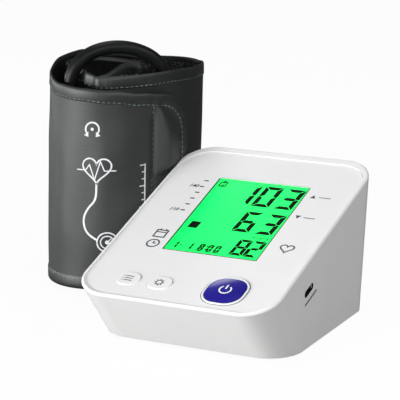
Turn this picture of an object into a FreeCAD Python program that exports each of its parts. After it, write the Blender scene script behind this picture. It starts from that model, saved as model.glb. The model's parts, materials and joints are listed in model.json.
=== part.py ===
import FreeCAD, Part
import os
from math import cos, degrees, pi, radians, sin, tan

Vector = FreeCAD.Vector

# An automatic upper-arm blood pressure monitor with its rolled cuff, in millimetres.
# Until the last step X runs to the right, Y runs back from the front edge of the
# sloping panel, and Z runs up from the table. The last step moves the origin to the
# middle of the set's footprint on the table.
#
# Panel coordinates (x, s, n): s runs up the slope from the front edge, n stands off it.

# ---- housing ----
HOUSING_WIDTH = 114.0
PANEL_LENGTH = 150.0          # up the slope
PANEL_TILT = 18.5             # degrees from the table
FRONT_HEIGHT = 31.8           # table to the panel's front edge
PANEL_CORNER = 18.7
BASE_WIDTH = 112.0
BASE_FRONT = 24.8             # the front wall is undercut by this much
BASE_BACK = 127.0
BASE_CORNER_FRONT = 18.3
BASE_CORNER_BACK = 10.9
WALL = 2.4
STAND_HEIGHT = 1.2            # the feet hold the case this far off the table
EDGE_ROUND = 1.2
RIM_WIDTH = 1.8
RIM_BACK = 6.2                # the rim is wider behind the face
FACE_RECESS = 1.6
SKIN = 2.0                    # moulded top under the face panel
FIT = 0.15                    # gap round a part that drops into a recess

# ---- face panel and display ----
FACE_THICKNESS = 0.9
DISPLAY_X = 1.9               # middle of the display
DISPLAY_S = 83.2
DISPLAY_WIDTH = 54.2
DISPLAY_LENGTH = 72.0
DISPLAY_CORNER = 0.8
GLASS_BORDER = 2.8            # hidden border of the glass, each side
GLASS_THICKNESS = 1.2
BACKLIGHT_THICKNESS = 2.7
BACKLIGHT_SHORTER = 7.0       # leaves room for the contact strip at the front
HOLDER_WALL = 2.7
HOLDER_LIP = 6.0              # shelf that the backlight lies on
LAYER_GAP = 0.05              # between stacked optical layers
STRIP_WIDTH = 2.2
STRIP_LENGTH = 50.0

# ---- buttons ----
START_X = 25.3
START_S = 18.25
START_SIDE = 20.6             # the start button is a rounded square
START_CORNER = 8.0
RING_WALL = 1.1
RING_PROUD = 0.6
SMALL_BUTTON_LENGTH = 14.0
SMALL_BUTTON_WIDTH = 11.0
MEMORY_X = -30.6
SET_X = -12.2
SMALL_BUTTON_S = 17.4
BUTTON_PROUD = 0.5
BUTTON_CROWN = 0.7
BUTTON_FLANGE = 1.0
BUTTON_SHOULDER = 1.2         # flange beyond the cap, all round
BUTTON_ROUND = 0.45
BUTTON_GAP = 0.25             # round each button
BUTTON_TRAVEL = 0.8
SWITCH_SIDE = 6.0
SWITCH_HEIGHT = 3.3
SWITCH_PLUNGER = 1.6

# ---- main board ----
BOARD_DEPTH = 10.0            # panel surface to the top of the board
BOARD_THICKNESS = 1.6
BOARD_SIDE_GAP = 15.0         # board's edge to the panel's side
BOARD_FRONT = 10.5
BOARD_BACK_GAP = 22.0
BOARD_POST_RADIUS = 2.5
BOARD_POST_INSET = 2.8        # posts from the board's edges
BOARD_POST_FRONT = 21.5       # front posts from the board's front
BOARD_POST_BACK = 3.5
BOARD_SCREW_RADIUS = 1.1
BOARD_SCREW_LENGTH = 5.5
SCREW_SPARE = 0.5             # hole beyond a screw's point
CHIP_SIDE = 12.0
CHIP_HEIGHT = 1.6
CAPACITOR_RADIUS = 2.5
CAPACITOR_HEIGHT = 5.5
BUZZER_RADIUS = 6.0
BUZZER_HEIGHT = 3.6
BUZZER_X = 22.0
BUZZER_S = 38.0
CHIP_PLACES = ((2.0, 66.0, 1.0), (-20.0, 52.0, 0.5), (18.0, 62.0, 0.5))   # x, s, share of the side
CAPACITOR_X = (-24.0, -16.0, -8.0)
CAPACITOR_S = 24.0

# ---- charging socket on the right side ----
USB_S = 47.7
USB_DEPTH = 15.4              # below the panel surface
USB_LENGTH = 9.0
USB_HEIGHT = 3.3
USB_WALL = 0.35
USB_BODY = 7.3
USB_TONGUE = 0.7
USB_TONGUE_INSET = 1.3
USB_SLOT_CLEAR = 0.2
USB_SLOT_LONGER = 0.9         # room for the plug's grip, each end
NOTCH_LENGTH = 15.4           # finger notch under the slot
NOTCH_HEIGHT = 1.4
NOTCH_REACH = 1.6             # from the panel's side to the notch's floor
NOTCH_BELOW = 5.3             # from the slot
NOTCH_BEHIND = 0.9            # up the slope from the slot
USB_BOARD_THICKNESS = 1.2
USB_BOARD_DEEP = 12.0
USB_BOARD_LONG = 12.0
USB_POST_RADIUS = 2.2
USB_POST_GAP = 0.8
USB_RECESS = 1.2              # from the panel's side to the mouth of the shell

# ---- base, battery bay and feet ----
BASE_THICKNESS = 2.2
BASE_CLEAR = 0.3
CELL_COUNT = 4
CELL_RADIUS = 7.1
CELL_LENGTH = 49.2
CELL_NUB_RADIUS = 2.7
CELL_NUB = 1.3
CELL_PITCH = 15.0
CELL_FLOOR = 0.6              # above the door
BAY_BACK = 112.0
BAY_SPRING = 3.0
BAY_WALL = 1.6
DOOR_THICKNESS = 1.6
DOOR_LEDGE = 1.6
DOOR_CLEAR = 0.2
GRIP_RADIUS = 0.6             # finger grooves across the door
GRIP_LENGTH = 18.0
GRIP_PITCH = 2.4
GRIP_INSET = 6.0
GRIP_COUNT = 4
CONTACT_THICKNESS = 0.4
SPRING_FOOT = 4.2
SPRING_TIP = 2.4
SPRING_WIRE = 0.7
FOOT_RADIUS = 5.0
FOOT_SEAT = 0.6
FOOT_INSET = 17.0             # from the base's sides
FOOT_FRONT = 12.2             # from the base's front
FOOT_BACK = 11.4
CASE_SCREW_INSET = 9.4        # from the base's sides
CASE_SCREW_FRONT = 16.2       # from the base's front
CASE_SCREW_BACK = 21.0
CASE_BOSS_RADIUS = 3.4
CASE_BOSS_BOTTOM = 8.2
CASE_SCREW_RADIUS = 1.4
CASE_SCREW_LENGTH = 11.0
SCREW_RECESS = 1.6
SCREW_HEAD_RADIUS = 2.5
SCREW_HEAD_HEIGHT = 1.6

# ---- air system ----
PUMP_Y = 96.0
PUMP_Z = 33.4
MOTOR_RADIUS = 12.0
MOTOR_FRONT = 40.0            # x of the free end
MOTOR_LENGTH = 30.0
MOTOR_WALL = 1.0
ROTOR_RADIUS = 9.4
ROTOR_LENGTH = 20.0
SHAFT_RADIUS = 1.0
SHAFT_CLEAR = 0.05
HEAD_SIDE = 24.0
HEAD_LENGTH = 22.0
HEAD_CORNER = 4.0
HEAD_WALL = 2.0
CRADLE_INSET = 5.0
CRADLE_HALF = 10.0
CRADLE_WRAP = 0.4             # how far up the motor the cradle ends, as a share of its radius
CAM_RADIUS = 5.0
CAM_OFFSET = 1.5
CAM_LENGTH = 6.0
DIAPHRAGM_THICKNESS = 2.4
CUP_COUNT = 3                 # cups of the diaphragm, on a circle
CUP_CIRCLE = 5.0
CUP_RADIUS = 3.0
CUP_SUNK = 0.5
CUP_PROUD = 1.1
NOZZLE_RADIUS = 2.0
NOZZLE_BORE = 1.0
NOZZLE_LENGTH = 6.0
TUBE_WALL = 1.0
TUBE_CLEAR = 0.05
TUBE_OVERLAP = 4.0            # pushed over each nozzle
TEE_RADIUS = 3.2
TEE_ARM = 4.4
NOZZLE_GAP = 2.0              # between two nozzles inside a tube
SOCKET_Y = 74.0
SOCKET_BORE = 2.6
SOCKET_DEPTH = 12.0
SOCKET_RADIUS = 4.2
SOCKET_FLANGE = 6.0
SOCKET_FLANGE_THICKNESS = 1.2
SOCKET_FACE = 58.2            # how far left the flange's face stands
SOCKET_END_WALL = 2.2         # beyond the elbow's middle
ELBOW_OFFSET = 1.2            # bore's end to the elbow's middle
SOCKET_HOLE_CLEAR = 0.2
VALVE_WIDTH = 14.0
VALVE_LENGTH = 18.0
VALVE_HEIGHT = 16.0
VALVE_NOZZLE = 3.0
PLUNGER_RADIUS = 2.0
PLUNGER_LENGTH = 12.0
PLUNGER_TRAVEL = 0.8
PLUNGER_CLEAR = 0.08
PLUNGER_OUTSIDE = 2.0         # sticks out of the valve's front
SENSOR_SIDE = 8.0
SENSOR_HEIGHT = 5.0
SENSOR_NOZZLE = 3.0

# ---- cuff ----
# The rolled band seen from above, from the tail's end inwards. Each step is a radius
# (clockwise positive, anticlockwise negative, 0 straight) and degrees, or a length.
BAND_START = (-56.0, 142.5)
BAND_HEADING = -89.0
BAND_TURNS = (
    (69.0, 44.5), (35.0, 46.5), (32.0, 59.5), (72.0, 50.0), (40.5, 74.5),
    (31.5, 62.0), (62.0, 23.5), (60.0, 52.0), (17.5, 37.5), (12.0, 40.0),
    (0.0, 31.0), (11.0, 128.0), (90.0, 22.0), (4.4, 168.0), (-24.0, 62.0), (0.0, 6.0),
)
BAND_HEIGHT = 124.5
TAIL_LENGTH = 235.0           # the outer turn, narrower than the rest
TAIL_BOTTOM = 2.5
TAIL_TOP = 119.0
TAIL_CORNER = 22.0
FABRIC = 0.8
CORE = 1.4                    # room for the bladder between the fabrics
BINDING_WIDTH = 7.0
BLADDER_START = 26.0
BLADDER_LENGTH = 200.0
BLADDER_MARGIN = 12.0
BLADDER_SLACK = 0.1
PATCH_THICKNESS = 0.7
PATCH_MARGIN = 12.0
HOOK_START = 4.0
HOOK_LENGTH = 46.0
LOOP_START = 282.0
LOOP_LENGTH = 60.0

# ---- hose ----
HOSE_RADIUS = 3.35
HOSE_BORE = 1.75
PORT_ALONG = 98.0
PORT_HEIGHT = 24.0
PORT_FLANGE = 9.0
PORT_FLANGE_THICKNESS = 1.4
PORT_ARM = 5.8                # inner face of the band to the hose's centre
PORT_RADIUS = 4.2
PORT_RISE = 14.0
PLUG_RADIUS = 5.0
PLUG_LENGTH = 24.0
PLUG_NOZZLE = 2.5
PLUG_NOZZLE_LENGTH = 10.0
HOSE_RISE = 20.0              # straight run above the port
HOSE_ROUTE = (
    (-111.7, 94.3, 82.0), (-111.1, 94.7, 106.0), (-110.6, 94.9, 122.0),
    (-108.0, 97.0, 131.0), (-102.8, 101.2, 137.4), (-95.8, 107.0, 140.0),
    (-88.3, 113.2, 139.2), (-81.2, 119.2, 134.6), (-75.3, 124.0, 126.6),
    (-71.5, 127.2, 114.0), (-70.8, 127.9, 95.0), (-71.2, 129.6, 68.0),
    (-72.0, 132.8, 45.0), (-73.0, 136.0, 23.3), (-80.0, 138.2, 10.7),
    (-92.0, 141.9, 3.6), (-106.0, 146.2, 3.4), (-118.0, 149.9, 10.7),
    (-125.0, 152.0, 23.3), (-125.8, 151.8, 44.0), (-125.6, 151.6, 66.0),
    (-125.0, 152.0, 86.4), (-119.0, 154.1, 97.5), (-108.5, 157.9, 103.9),
    (-96.5, 162.2, 103.9), (-86.0, 165.9, 97.5), (-80.0, 168.0, 86.4),
    (-79.4, 168.5, 68.0), (-79.8, 168.0, 51.0), (-79.6, 168.2, 35.0),
)

TILT = radians(PANEL_TILT)
PANEL = FreeCAD.Placement(Vector(0, 0, FRONT_HEIGHT), FreeCAD.Rotation(Vector(1, 0, 0), PANEL_TILT))
FAR = 400.0                   # larger than anything in the set
SKIN_BOTTOM = -(FACE_RECESS + SKIN)
FACE_TOP = FACE_THICKNESS - FACE_RECESS
BOARD_UNDER = -(BOARD_DEPTH + BOARD_THICKNESS)
BOARD_HALF_WIDTH = HOUSING_WIDTH / 2 - BOARD_SIDE_GAP
BOARD_BACK = PANEL_LENGTH - BOARD_BACK_GAP
USB_MOUTH = HOUSING_WIDTH / 2 - USB_RECESS
BASE_TOP = STAND_HEIGHT + BASE_THICKNESS
DOOR_TOP = STAND_HEIGHT + DOOR_THICKNESS
BAND = 2 * FABRIC + CORE
CELL_Z = DOOR_TOP + CELL_FLOOR + CELL_RADIUS
BAY_CEILING = CELL_Z + CELL_RADIUS + CELL_FLOOR
BAY_ROOF = BAY_CEILING + BAY_WALL
BAY_HALF_WIDTH = CELL_COUNT * CELL_PITCH / 2 + 0.3
BAY_FRONT = BAY_BACK - CELL_LENGTH - CELL_NUB - BAY_SPRING
HEAD_X = MOTOR_FRONT - MOTOR_LENGTH
NOZZLE_X = HEAD_X - HEAD_LENGTH
PUMP_TIP = NOZZLE_X - NOZZLE_LENGTH
ELBOW_X = SOCKET_DEPTH + ELBOW_OFFSET - SOCKET_FACE
ELBOW_TIP = SOCKET_Y + SOCKET_RADIUS + NOZZLE_LENGTH
TEE_REACH = TEE_RADIUS + TEE_ARM
TEE_X = PUMP_TIP - NOZZLE_GAP - TEE_REACH
TUBE_BEND = TEE_X - TEE_REACH - ELBOW_X
VALVE_BACK = PUMP_Y - TEE_REACH - NOZZLE_GAP - VALVE_NOZZLE
TUBE_BORE = NOZZLE_RADIUS + TUBE_CLEAR


# ---- shapes that several parts share ----

def rounded_outline(x0, x1, y0, y1, front, back, z=0.0):
    """Closed rectangle with its own corner radii at the front and the back."""
    q = 1 - cos(pi / 4)
    points = [
        ((x0 + front, y0), (x1 - front, y0), (x1 - front * q, y0 + front * q), (x1, y0 + front)),
        ((x1, y0 + front), (x1, y1 - back), (x1 - back * q, y1 - back * q), (x1 - back, y1)),
        ((x1 - back, y1), (x0 + back, y1), (x0 + back * q, y1 - back * q), (x0, y1 - back)),
        ((x0, y1 - back), (x0, y0 + front), (x0 + front * q, y0 + front * q), (x0 + front, y0)),
    ]
    edges = []
    for start, stop, middle, end in points:
        a, b, c, d = (Vector(*p, z) for p in (start, stop, middle, end))
        edges.append(Part.LineSegment(a, b).toShape())
        edges.append(Part.Arc(b, c, d).toShape())
    return Part.Wire(edges)


def plate(x0, x1, y0, y1, z0, z1, corner):
    """Flat plate with rounded corners."""
    face = Part.Face(rounded_outline(x0, x1, y0, y1, corner, corner, z0))
    return face.extrude(Vector(0, 0, z1 - z0))


def centred_plate(x, y, width, length, z0, z1, corner):
    """Flat plate about its own middle."""
    return plate(x - width / 2, x + width / 2, y - length / 2, y + length / 2, z0, z1, corner)


def box(x0, x1, y0, y1, z0, z1):
    """Plain block between two corners."""
    return Part.makeBox(x1 - x0, y1 - y0, z1 - z0, Vector(x0, y0, z0))


def rod(radius, start, axis, length):
    """Cylinder from a point along an axis."""
    return Part.makeCylinder(radius, length, Vector(*start), Vector(*axis))


def pipe(outer, inner, start, axis, length):
    """Cylinder with a hole right through it."""
    return rod(outer, start, axis, length).cut(rod(inner, start, axis, length))


def on_panel(shape):
    """Place a shape that was drawn in panel coordinates."""
    placed = shape.copy()
    placed.Placement = PANEL.multiply(placed.Placement)
    return placed


def group(shapes):
    """Several solids in one node."""
    return Part.makeCompound([solid for shape in shapes for solid in shape.Solids])


def below_panel(depth):
    """Everything more than a depth under the panel surface."""
    return on_panel(box(-FAR, FAR, -FAR, FAR, -FAR, -depth))


# ---- housing ----

def case_loft(inset):
    """The wedge between the sloping panel outline and the base outline."""
    half_top = HOUSING_WIDTH / 2 - inset
    half_base = BASE_WIDTH / 2 - inset
    corner = PANEL_CORNER - inset
    top = rounded_outline(-half_top, half_top, inset, PANEL_LENGTH - inset, corner, corner)
    top.Placement = PANEL
    base = rounded_outline(-half_base, half_base, BASE_FRONT + inset, BASE_BACK - inset,
                           BASE_CORNER_FRONT - inset, BASE_CORNER_BACK - inset, STAND_HEIGHT)
    return Part.makeLoft([base, top], True, True)


def round_top_edge(solid):
    """Round the outer edge of the panel."""
    edges = []
    for edge in solid.Edges:
        heights = [PANEL.inverse().multVec(v.Point).z for v in edge.Vertexes]
        if all(abs(height) < 0.01 for height in heights):
            edges.append(edge)
    return solid.makeFillet(EDGE_ROUND, edges)


def button_holes(gap, top, bottom):
    """The three holes that the buttons rise through."""
    small = [small_button_body(x, gap, bottom, top) for x in (MEMORY_X, SET_X)]
    return [start_button_body(gap, bottom, top)] + small


def start_button_body(grow, bottom, top):
    """Rounded square prism of the start button, grown all round."""
    side = START_SIDE + 2 * grow
    return centred_plate(START_X, START_S, side, side, bottom, top, START_CORNER + grow)


def small_button_body(x, grow, bottom, top):
    """Oval prism of a small button, grown all round."""
    return centred_plate(x, SMALL_BUTTON_S, SMALL_BUTTON_LENGTH + 2 * grow,
                         SMALL_BUTTON_WIDTH + 2 * grow, bottom, top, SMALL_BUTTON_WIDTH / 2 + grow - 0.01)


def side_slot(s, depth, length, height, x0, x1):
    """Slot with round ends that runs along the side wall, drawn in panel coordinates."""
    flat = centred_plate(0, 0, length, height, 0, x1 - x0, height / 2 - 0.01)
    flat.Placement = FreeCAD.Placement(Vector(x0, s, -depth),
                                       FreeCAD.Rotation(Vector(0, 1, 0), Vector(0, 0, 1), Vector(1, 0, 0)))
    return flat


def usb_slot(grow, x0, x1, longer=0.0):
    """Rounded slot of the charging socket."""
    return side_slot(USB_S, USB_DEPTH, USB_LENGTH + 2 * (grow + longer), USB_HEIGHT + 2 * grow, x0, x1)


def finger_notch():
    """Shallow notch in the side wall under the charging slot."""
    return side_slot(USB_S + NOTCH_BEHIND, USB_DEPTH + NOTCH_BELOW, NOTCH_LENGTH, NOTCH_HEIGHT,
                     HOUSING_WIDTH / 2 - NOTCH_REACH, HOUSING_WIDTH / 2 + 2)


def board_post_places():
    """Where the main board is screwed to the housing, in panel coordinates."""
    x = BOARD_HALF_WIDTH - BOARD_POST_INSET
    ends = (BOARD_FRONT + BOARD_POST_FRONT, BOARD_BACK - BOARD_POST_BACK)
    return [(side * x, s) for side in (-1, 1) for s in ends]


def case_screw_places():
    """Where the base is screwed to the housing."""
    x = BASE_WIDTH / 2 - CASE_SCREW_INSET
    ends = (BASE_FRONT + CASE_SCREW_FRONT, BASE_BACK - CASE_SCREW_BACK)
    return [(side * x, y) for side in (-1, 1) for y in ends]


def usb_post_places():
    """The two posts behind the charging socket, in panel coordinates."""
    x = USB_MOUTH - USB_BODY - USB_POST_GAP - USB_POST_RADIUS
    reach = USB_BOARD_LONG / 2 - USB_POST_RADIUS
    return [(x, USB_S - reach), (x, USB_S + reach)]


def upper_housing():
    """White moulded case: walls, rim, recessed skin, bosses and posts."""
    overlap = 0.5
    shell = round_top_edge(case_loft(0))
    inside = case_loft(WALL).common(below_panel(-SKIN_BOTTOM))
    shell = shell.cut(inside)
    recess = plate(-HOUSING_WIDTH / 2 + RIM_WIDTH, HOUSING_WIDTH / 2 - RIM_WIDTH, RIM_WIDTH,
                   PANEL_LENGTH - RIM_BACK, -FACE_RECESS, 1.0, PANEL_CORNER - RIM_WIDTH)
    shell = shell.cut(on_panel(recess))

    room = case_loft(WALL - overlap).common(below_panel(-SKIN_BOTTOM - overlap))
    bosses = [rod(CASE_BOSS_RADIUS, (x, y, CASE_BOSS_BOTTOM), (0, 0, 1), FAR).common(room)
              for x, y in case_screw_places()]
    post_length = BOARD_DEPTH + SKIN_BOTTOM + overlap
    posts = [on_panel(rod(BOARD_POST_RADIUS, (x, s, -BOARD_DEPTH), (0, 0, 1), post_length))
             for x, s in board_post_places()]
    usb_bottom = -(USB_DEPTH + USB_HEIGHT / 2)
    usb_length = SKIN_BOTTOM + overlap - usb_bottom
    posts += [on_panel(rod(USB_POST_RADIUS, (x, s, usb_bottom), (0, 0, 1), usb_length))
              for x, s in usb_post_places()]
    shell = shell.fuse(bosses + posts)

    holes = [on_panel(hole) for hole in button_holes(BUTTON_GAP, 1.0, SKIN_BOTTOM - 1.0)]
    holes.append(on_panel(centred_plate(DISPLAY_X, DISPLAY_S, glass_width() + 1.0, glass_length() + 1.0,
                                        SKIN_BOTTOM - 1.0, 1.0, 1.0)))
    holes.append(on_panel(usb_slot(USB_SLOT_CLEAR, HOUSING_WIDTH / 2 - 2 * WALL, HOUSING_WIDTH / 2 + 2,
                                   USB_SLOT_LONGER)))
    holes.append(on_panel(finger_notch()))
    holes.append(rod(SOCKET_RADIUS + SOCKET_HOLE_CLEAR, (-HOUSING_WIDTH / 2 - 2 * WALL, SOCKET_Y, PUMP_Z),
                     (1, 0, 0), 4 * WALL))
    screw_room = case_screw_tip() - CASE_BOSS_BOTTOM + SCREW_SPARE
    holes += [rod(CASE_SCREW_RADIUS, (x, y, CASE_BOSS_BOTTOM), (0, 0, 1), screw_room)
              for x, y in case_screw_places()]
    board_room = BOARD_SCREW_LENGTH - BOARD_THICKNESS + SCREW_SPARE
    holes += [on_panel(rod(BOARD_SCREW_RADIUS, (x, s, -BOARD_DEPTH), (0, 0, 1), board_room))
              for x, s in board_post_places()]
    return shell.cut(holes)


def glass_width():
    """Overall width of the display glass."""
    return DISPLAY_WIDTH + 2 * GLASS_BORDER


def glass_length():
    """Overall length of the display glass."""
    return DISPLAY_LENGTH + 2 * GLASS_BORDER


def face_panel():
    """Thin printed sheet that drops into the recess inside the rim."""
    edge = RIM_WIDTH + FIT
    sheet = plate(-HOUSING_WIDTH / 2 + edge, HOUSING_WIDTH / 2 - edge, edge, PANEL_LENGTH - RIM_BACK - FIT,
                  -FACE_RECESS, FACE_TOP, PANEL_CORNER - edge)
    window = centred_plate(DISPLAY_X, DISPLAY_S, DISPLAY_WIDTH, DISPLAY_LENGTH,
                           -FACE_RECESS - 1, 1, DISPLAY_CORNER)
    ring = start_button_body(BUTTON_GAP + RING_WALL + FIT, -FACE_RECESS - 1, 1)
    small = [small_button_body(x, BUTTON_GAP, -FACE_RECESS - 1, 1) for x in (MEMORY_X, SET_X)]
    return on_panel(sheet.cut([window, ring] + small))


def display_window():
    """Clear window that fills the opening in the face."""
    width = DISPLAY_WIDTH - 2 * LAYER_GAP
    length = DISPLAY_LENGTH - 2 * LAYER_GAP
    return on_panel(centred_plate(DISPLAY_X, DISPLAY_S, width, length, -FACE_RECESS, FACE_TOP, DISPLAY_CORNER))


def glass_bottom():
    """Level of the display glass's underside."""
    return -(FACE_RECESS + LAYER_GAP + GLASS_THICKNESS)


def lcd_glass():
    """Liquid crystal glass straight under the window."""
    return on_panel(centred_plate(DISPLAY_X, DISPLAY_S, glass_width(), glass_length(),
                                  glass_bottom(), -(FACE_RECESS + LAYER_GAP), 0.3))


def backlight_bottom():
    """Level of the backlight's underside."""
    return glass_bottom() - LAYER_GAP - BACKLIGHT_THICKNESS


def lcd_backlight():
    """Light guide behind the glass."""
    return on_panel(centred_plate(DISPLAY_X, DISPLAY_S + BACKLIGHT_SHORTER / 2 - 1.0, glass_width() - 2,
                                  glass_length() - BACKLIGHT_SHORTER, backlight_bottom(),
                                  glass_bottom() - LAYER_GAP, 0.3))


def strip_s():
    """Middle of the contact strip along the slope."""
    return DISPLAY_S - glass_length() / 2 + 0.6 + STRIP_WIDTH / 2


def lcd_holder():
    """Frame that carries the glass and the backlight on the board."""
    width = glass_width() + 2 * HOLDER_WALL
    length = glass_length() + 2 * HOLDER_WALL
    top = SKIN_BOTTOM - LAYER_GAP
    body = centred_plate(DISPLAY_X, DISPLAY_S, width, length, -BOARD_DEPTH, top, 1.5)
    pocket = centred_plate(DISPLAY_X, DISPLAY_S, glass_width() + 0.4, glass_length() + 0.4,
                           backlight_bottom() - LAYER_GAP, top + 1, 0.4)
    through = centred_plate(DISPLAY_X, DISPLAY_S + HOLDER_LIP / 2, glass_width() - 2 * HOLDER_LIP,
                            glass_length() - 3 * HOLDER_LIP, -BOARD_DEPTH - 1, top, 1)
    slot = centred_plate(DISPLAY_X, strip_s(), STRIP_LENGTH + 2 * FIT, STRIP_WIDTH + 2 * FIT,
                         -BOARD_DEPTH - 1, top, 0.2)
    return on_panel(body.cut([pocket, through, slot]))


def zebra_strip():
    """Rubber contact strip from the board up to the glass."""
    return on_panel(centred_plate(DISPLAY_X, strip_s(), STRIP_LENGTH, STRIP_WIDTH,
                                  -BOARD_DEPTH, glass_bottom(), 0.2))


# ---- buttons ----

def flange_top():
    """Level of the shoulder that stops each button under the skin."""
    return SKIN_BOTTOM - FIT


def start_button():
    """Rounded square cap with a crowned top and a stop flange."""
    top = FACE_TOP + BUTTON_PROUD + BUTTON_CROWN
    low = flange_top() - BUTTON_FLANGE
    reach = (START_SIDE / 2 - START_CORNER) * 2 ** 0.5 + START_CORNER
    ball = (reach ** 2 + BUTTON_CROWN ** 2) / (2 * BUTTON_CROWN)
    cap = start_button_body(0, low, top + 1)
    cap = cap.common(Part.makeSphere(ball, Vector(START_X, START_S, top - ball)))
    return on_panel(cap.fuse(start_button_body(BUTTON_SHOULDER, low, low + BUTTON_FLANGE)))


def small_button(x):
    """Oval cap with a softened edge and a stop flange."""
    top = FACE_TOP + BUTTON_PROUD
    low = flange_top() - BUTTON_FLANGE
    cap = small_button_body(x, 0, low, top)
    upper = [edge for edge in cap.Edges if all(abs(v.Z - top) < 1e-6 for v in edge.Vertexes)]
    cap = cap.makeFillet(BUTTON_ROUND, upper)
    return on_panel(cap.fuse(small_button_body(x, BUTTON_SHOULDER, low, low + BUTTON_FLANGE)))


def start_ring():
    """Bright ring round the start button."""
    top = FACE_TOP + RING_PROUD
    ring = start_button_body(BUTTON_GAP + RING_WALL, -FACE_RECESS, top)
    ring = ring.cut(start_button_body(BUTTON_GAP, -FACE_RECESS - 1, top + 1))
    upper = [edge for edge in ring.Edges if all(abs(v.Z - top) < 1e-6 for v in edge.Vertexes)]
    return on_panel(ring.makeFillet(RING_WALL * 0.35, upper))


def button_places():
    """Middle of each button in panel coordinates."""
    return [(START_X, START_S), (MEMORY_X, SMALL_BUTTON_S), (SET_X, SMALL_BUTTON_S)]


def tact_switches():
    """One switch on the board under each button, clear of it over its travel."""
    solids = []
    for x, s in button_places():
        body = centred_plate(x, s, SWITCH_SIDE, SWITCH_SIDE, -BOARD_DEPTH, SWITCH_HEIGHT - BOARD_DEPTH, 0.3)
        tip = flange_top() - BUTTON_FLANGE - BUTTON_TRAVEL - FIT
        plunger = rod(SWITCH_PLUNGER, (x, s, -BOARD_DEPTH + 1), (0, 0, 1), tip + BOARD_DEPTH - 1)
        solids.append(body.fuse(plunger))
    return on_panel(group(solids))


# ---- main board ----

def main_board():
    """Circuit board that hangs from the four posts."""
    board = plate(-BOARD_HALF_WIDTH, BOARD_HALF_WIDTH, BOARD_FRONT, BOARD_BACK,
                  BOARD_UNDER, -BOARD_DEPTH, 2.0)
    holes = [rod(BOARD_SCREW_RADIUS, (x, s, BOARD_UNDER - 1), (0, 0, 1), BOARD_THICKNESS + 2)
             for x, s in board_post_places()]
    return on_panel(board.cut(holes))


def board_parts():
    """Controller chip, two smaller chips and a row of capacitors under the board."""
    chips = [centred_plate(x, s, share * CHIP_SIDE, share * CHIP_SIDE,
                           BOARD_UNDER - CHIP_HEIGHT, BOARD_UNDER, 0.3)
             for x, s, share in CHIP_PLACES]
    cans = [rod(CAPACITOR_RADIUS, (x, CAPACITOR_S, BOARD_UNDER - CAPACITOR_HEIGHT), (0, 0, 1), CAPACITOR_HEIGHT)
            for x in CAPACITOR_X]
    return on_panel(group(chips + cans))


def buzzer():
    """Sounder under the board."""
    can = rod(BUZZER_RADIUS, (BUZZER_X, BUZZER_S, BOARD_UNDER - BUZZER_HEIGHT), (0, 0, 1), BUZZER_HEIGHT)
    port = rod(1.0, (BUZZER_X, BUZZER_S, BOARD_UNDER - BUZZER_HEIGHT - 1), (0, 0, 1), 2)
    return on_panel(can.cut(port))


def board_screws():
    """Four screws that hold the board to its posts."""
    solids = []
    for x, s in board_post_places():
        head = rod(SCREW_HEAD_RADIUS, (x, s, BOARD_UNDER - SCREW_HEAD_HEIGHT), (0, 0, 1), SCREW_HEAD_HEIGHT)
        shank = rod(BOARD_SCREW_RADIUS, (x, s, BOARD_UNDER - 0.5), (0, 0, 1), BOARD_SCREW_LENGTH + 0.5)
        solids.append(head.fuse(shank))
    return on_panel(group(solids))


def usb_socket():
    """Metal shell with the contact tongue inside."""
    x1 = USB_MOUTH
    shell = usb_slot(0, x1 - USB_BODY, x1).cut(usb_slot(-USB_WALL, x1 - USB_BODY + 1, x1 + 1))
    half = USB_LENGTH / 2 - USB_TONGUE_INSET
    tongue = box(x1 - USB_BODY + 0.5, x1 - 0.8, USB_S - half, USB_S + half,
                 -USB_DEPTH - USB_TONGUE / 2, -USB_DEPTH + USB_TONGUE / 2)
    return on_panel(shell.fuse(tongue))


def usb_board():
    """Small board under the socket, against its two posts."""
    x1 = HOUSING_WIDTH / 2 - WALL - 1.2
    top = -(USB_DEPTH + USB_HEIGHT / 2)
    return on_panel(plate(x1 - USB_BOARD_DEEP, x1, USB_S - USB_BOARD_LONG / 2, USB_S + USB_BOARD_LONG / 2,
                          top - USB_BOARD_THICKNESS, top, 0.5))


# ---- base and batteries ----

def bay_box(grow, z0, z1):
    """Block about the battery bay."""
    return box(-BAY_HALF_WIDTH - grow, BAY_HALF_WIDTH + grow, BAY_FRONT - grow, BAY_BACK + grow, z0, z1)


def foot_places():
    """Middle of each foot."""
    x = BASE_WIDTH / 2 - FOOT_INSET
    return [(side * x, y) for side in (-1, 1) for y in (BASE_FRONT + FOOT_FRONT, BASE_BACK - FOOT_BACK)]


def base_cover():
    """Floor of the case with the battery bay, screw towers and foot seats."""
    inset = WALL + BASE_CLEAR
    half = BASE_WIDTH / 2 - inset
    outline = rounded_outline(-half, half, BASE_FRONT + inset, BASE_BACK - inset,
                              BASE_CORNER_FRONT - inset, BASE_CORNER_BACK - inset, STAND_HEIGHT)
    floor = Part.Face(outline).extrude(Vector(0, 0, BASE_THICKNESS))
    towers = [rod(CASE_BOSS_RADIUS, (x, y, BASE_TOP - 0.5), (0, 0, 1), CASE_BOSS_BOTTOM - BASE_TOP + 0.5)
              for x, y in case_screw_places()]
    body = floor.fuse([bay_box(BAY_WALL, STAND_HEIGHT, BAY_ROOF)] + towers)
    cuts = [bay_box(0, STAND_HEIGHT - 1, BAY_CEILING)]
    cuts.append(bay_box(DOOR_LEDGE, STAND_HEIGHT - 1, DOOR_TOP + LAYER_GAP))
    cuts += [rod(FOOT_RADIUS, (x, y, STAND_HEIGHT - 1), (0, 0, 1), 1 + FOOT_SEAT) for x, y in foot_places()]
    cuts += [rod(CASE_SCREW_RADIUS, (x, y, 0), (0, 0, 1), CASE_BOSS_BOTTOM + 1)
             for x, y in case_screw_places()]
    cuts += [rod(SCREW_HEAD_RADIUS + FIT, (x, y, 0), (0, 0, 1), screw_seat()) for x, y in case_screw_places()]
    return body.cut(cuts)


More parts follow.
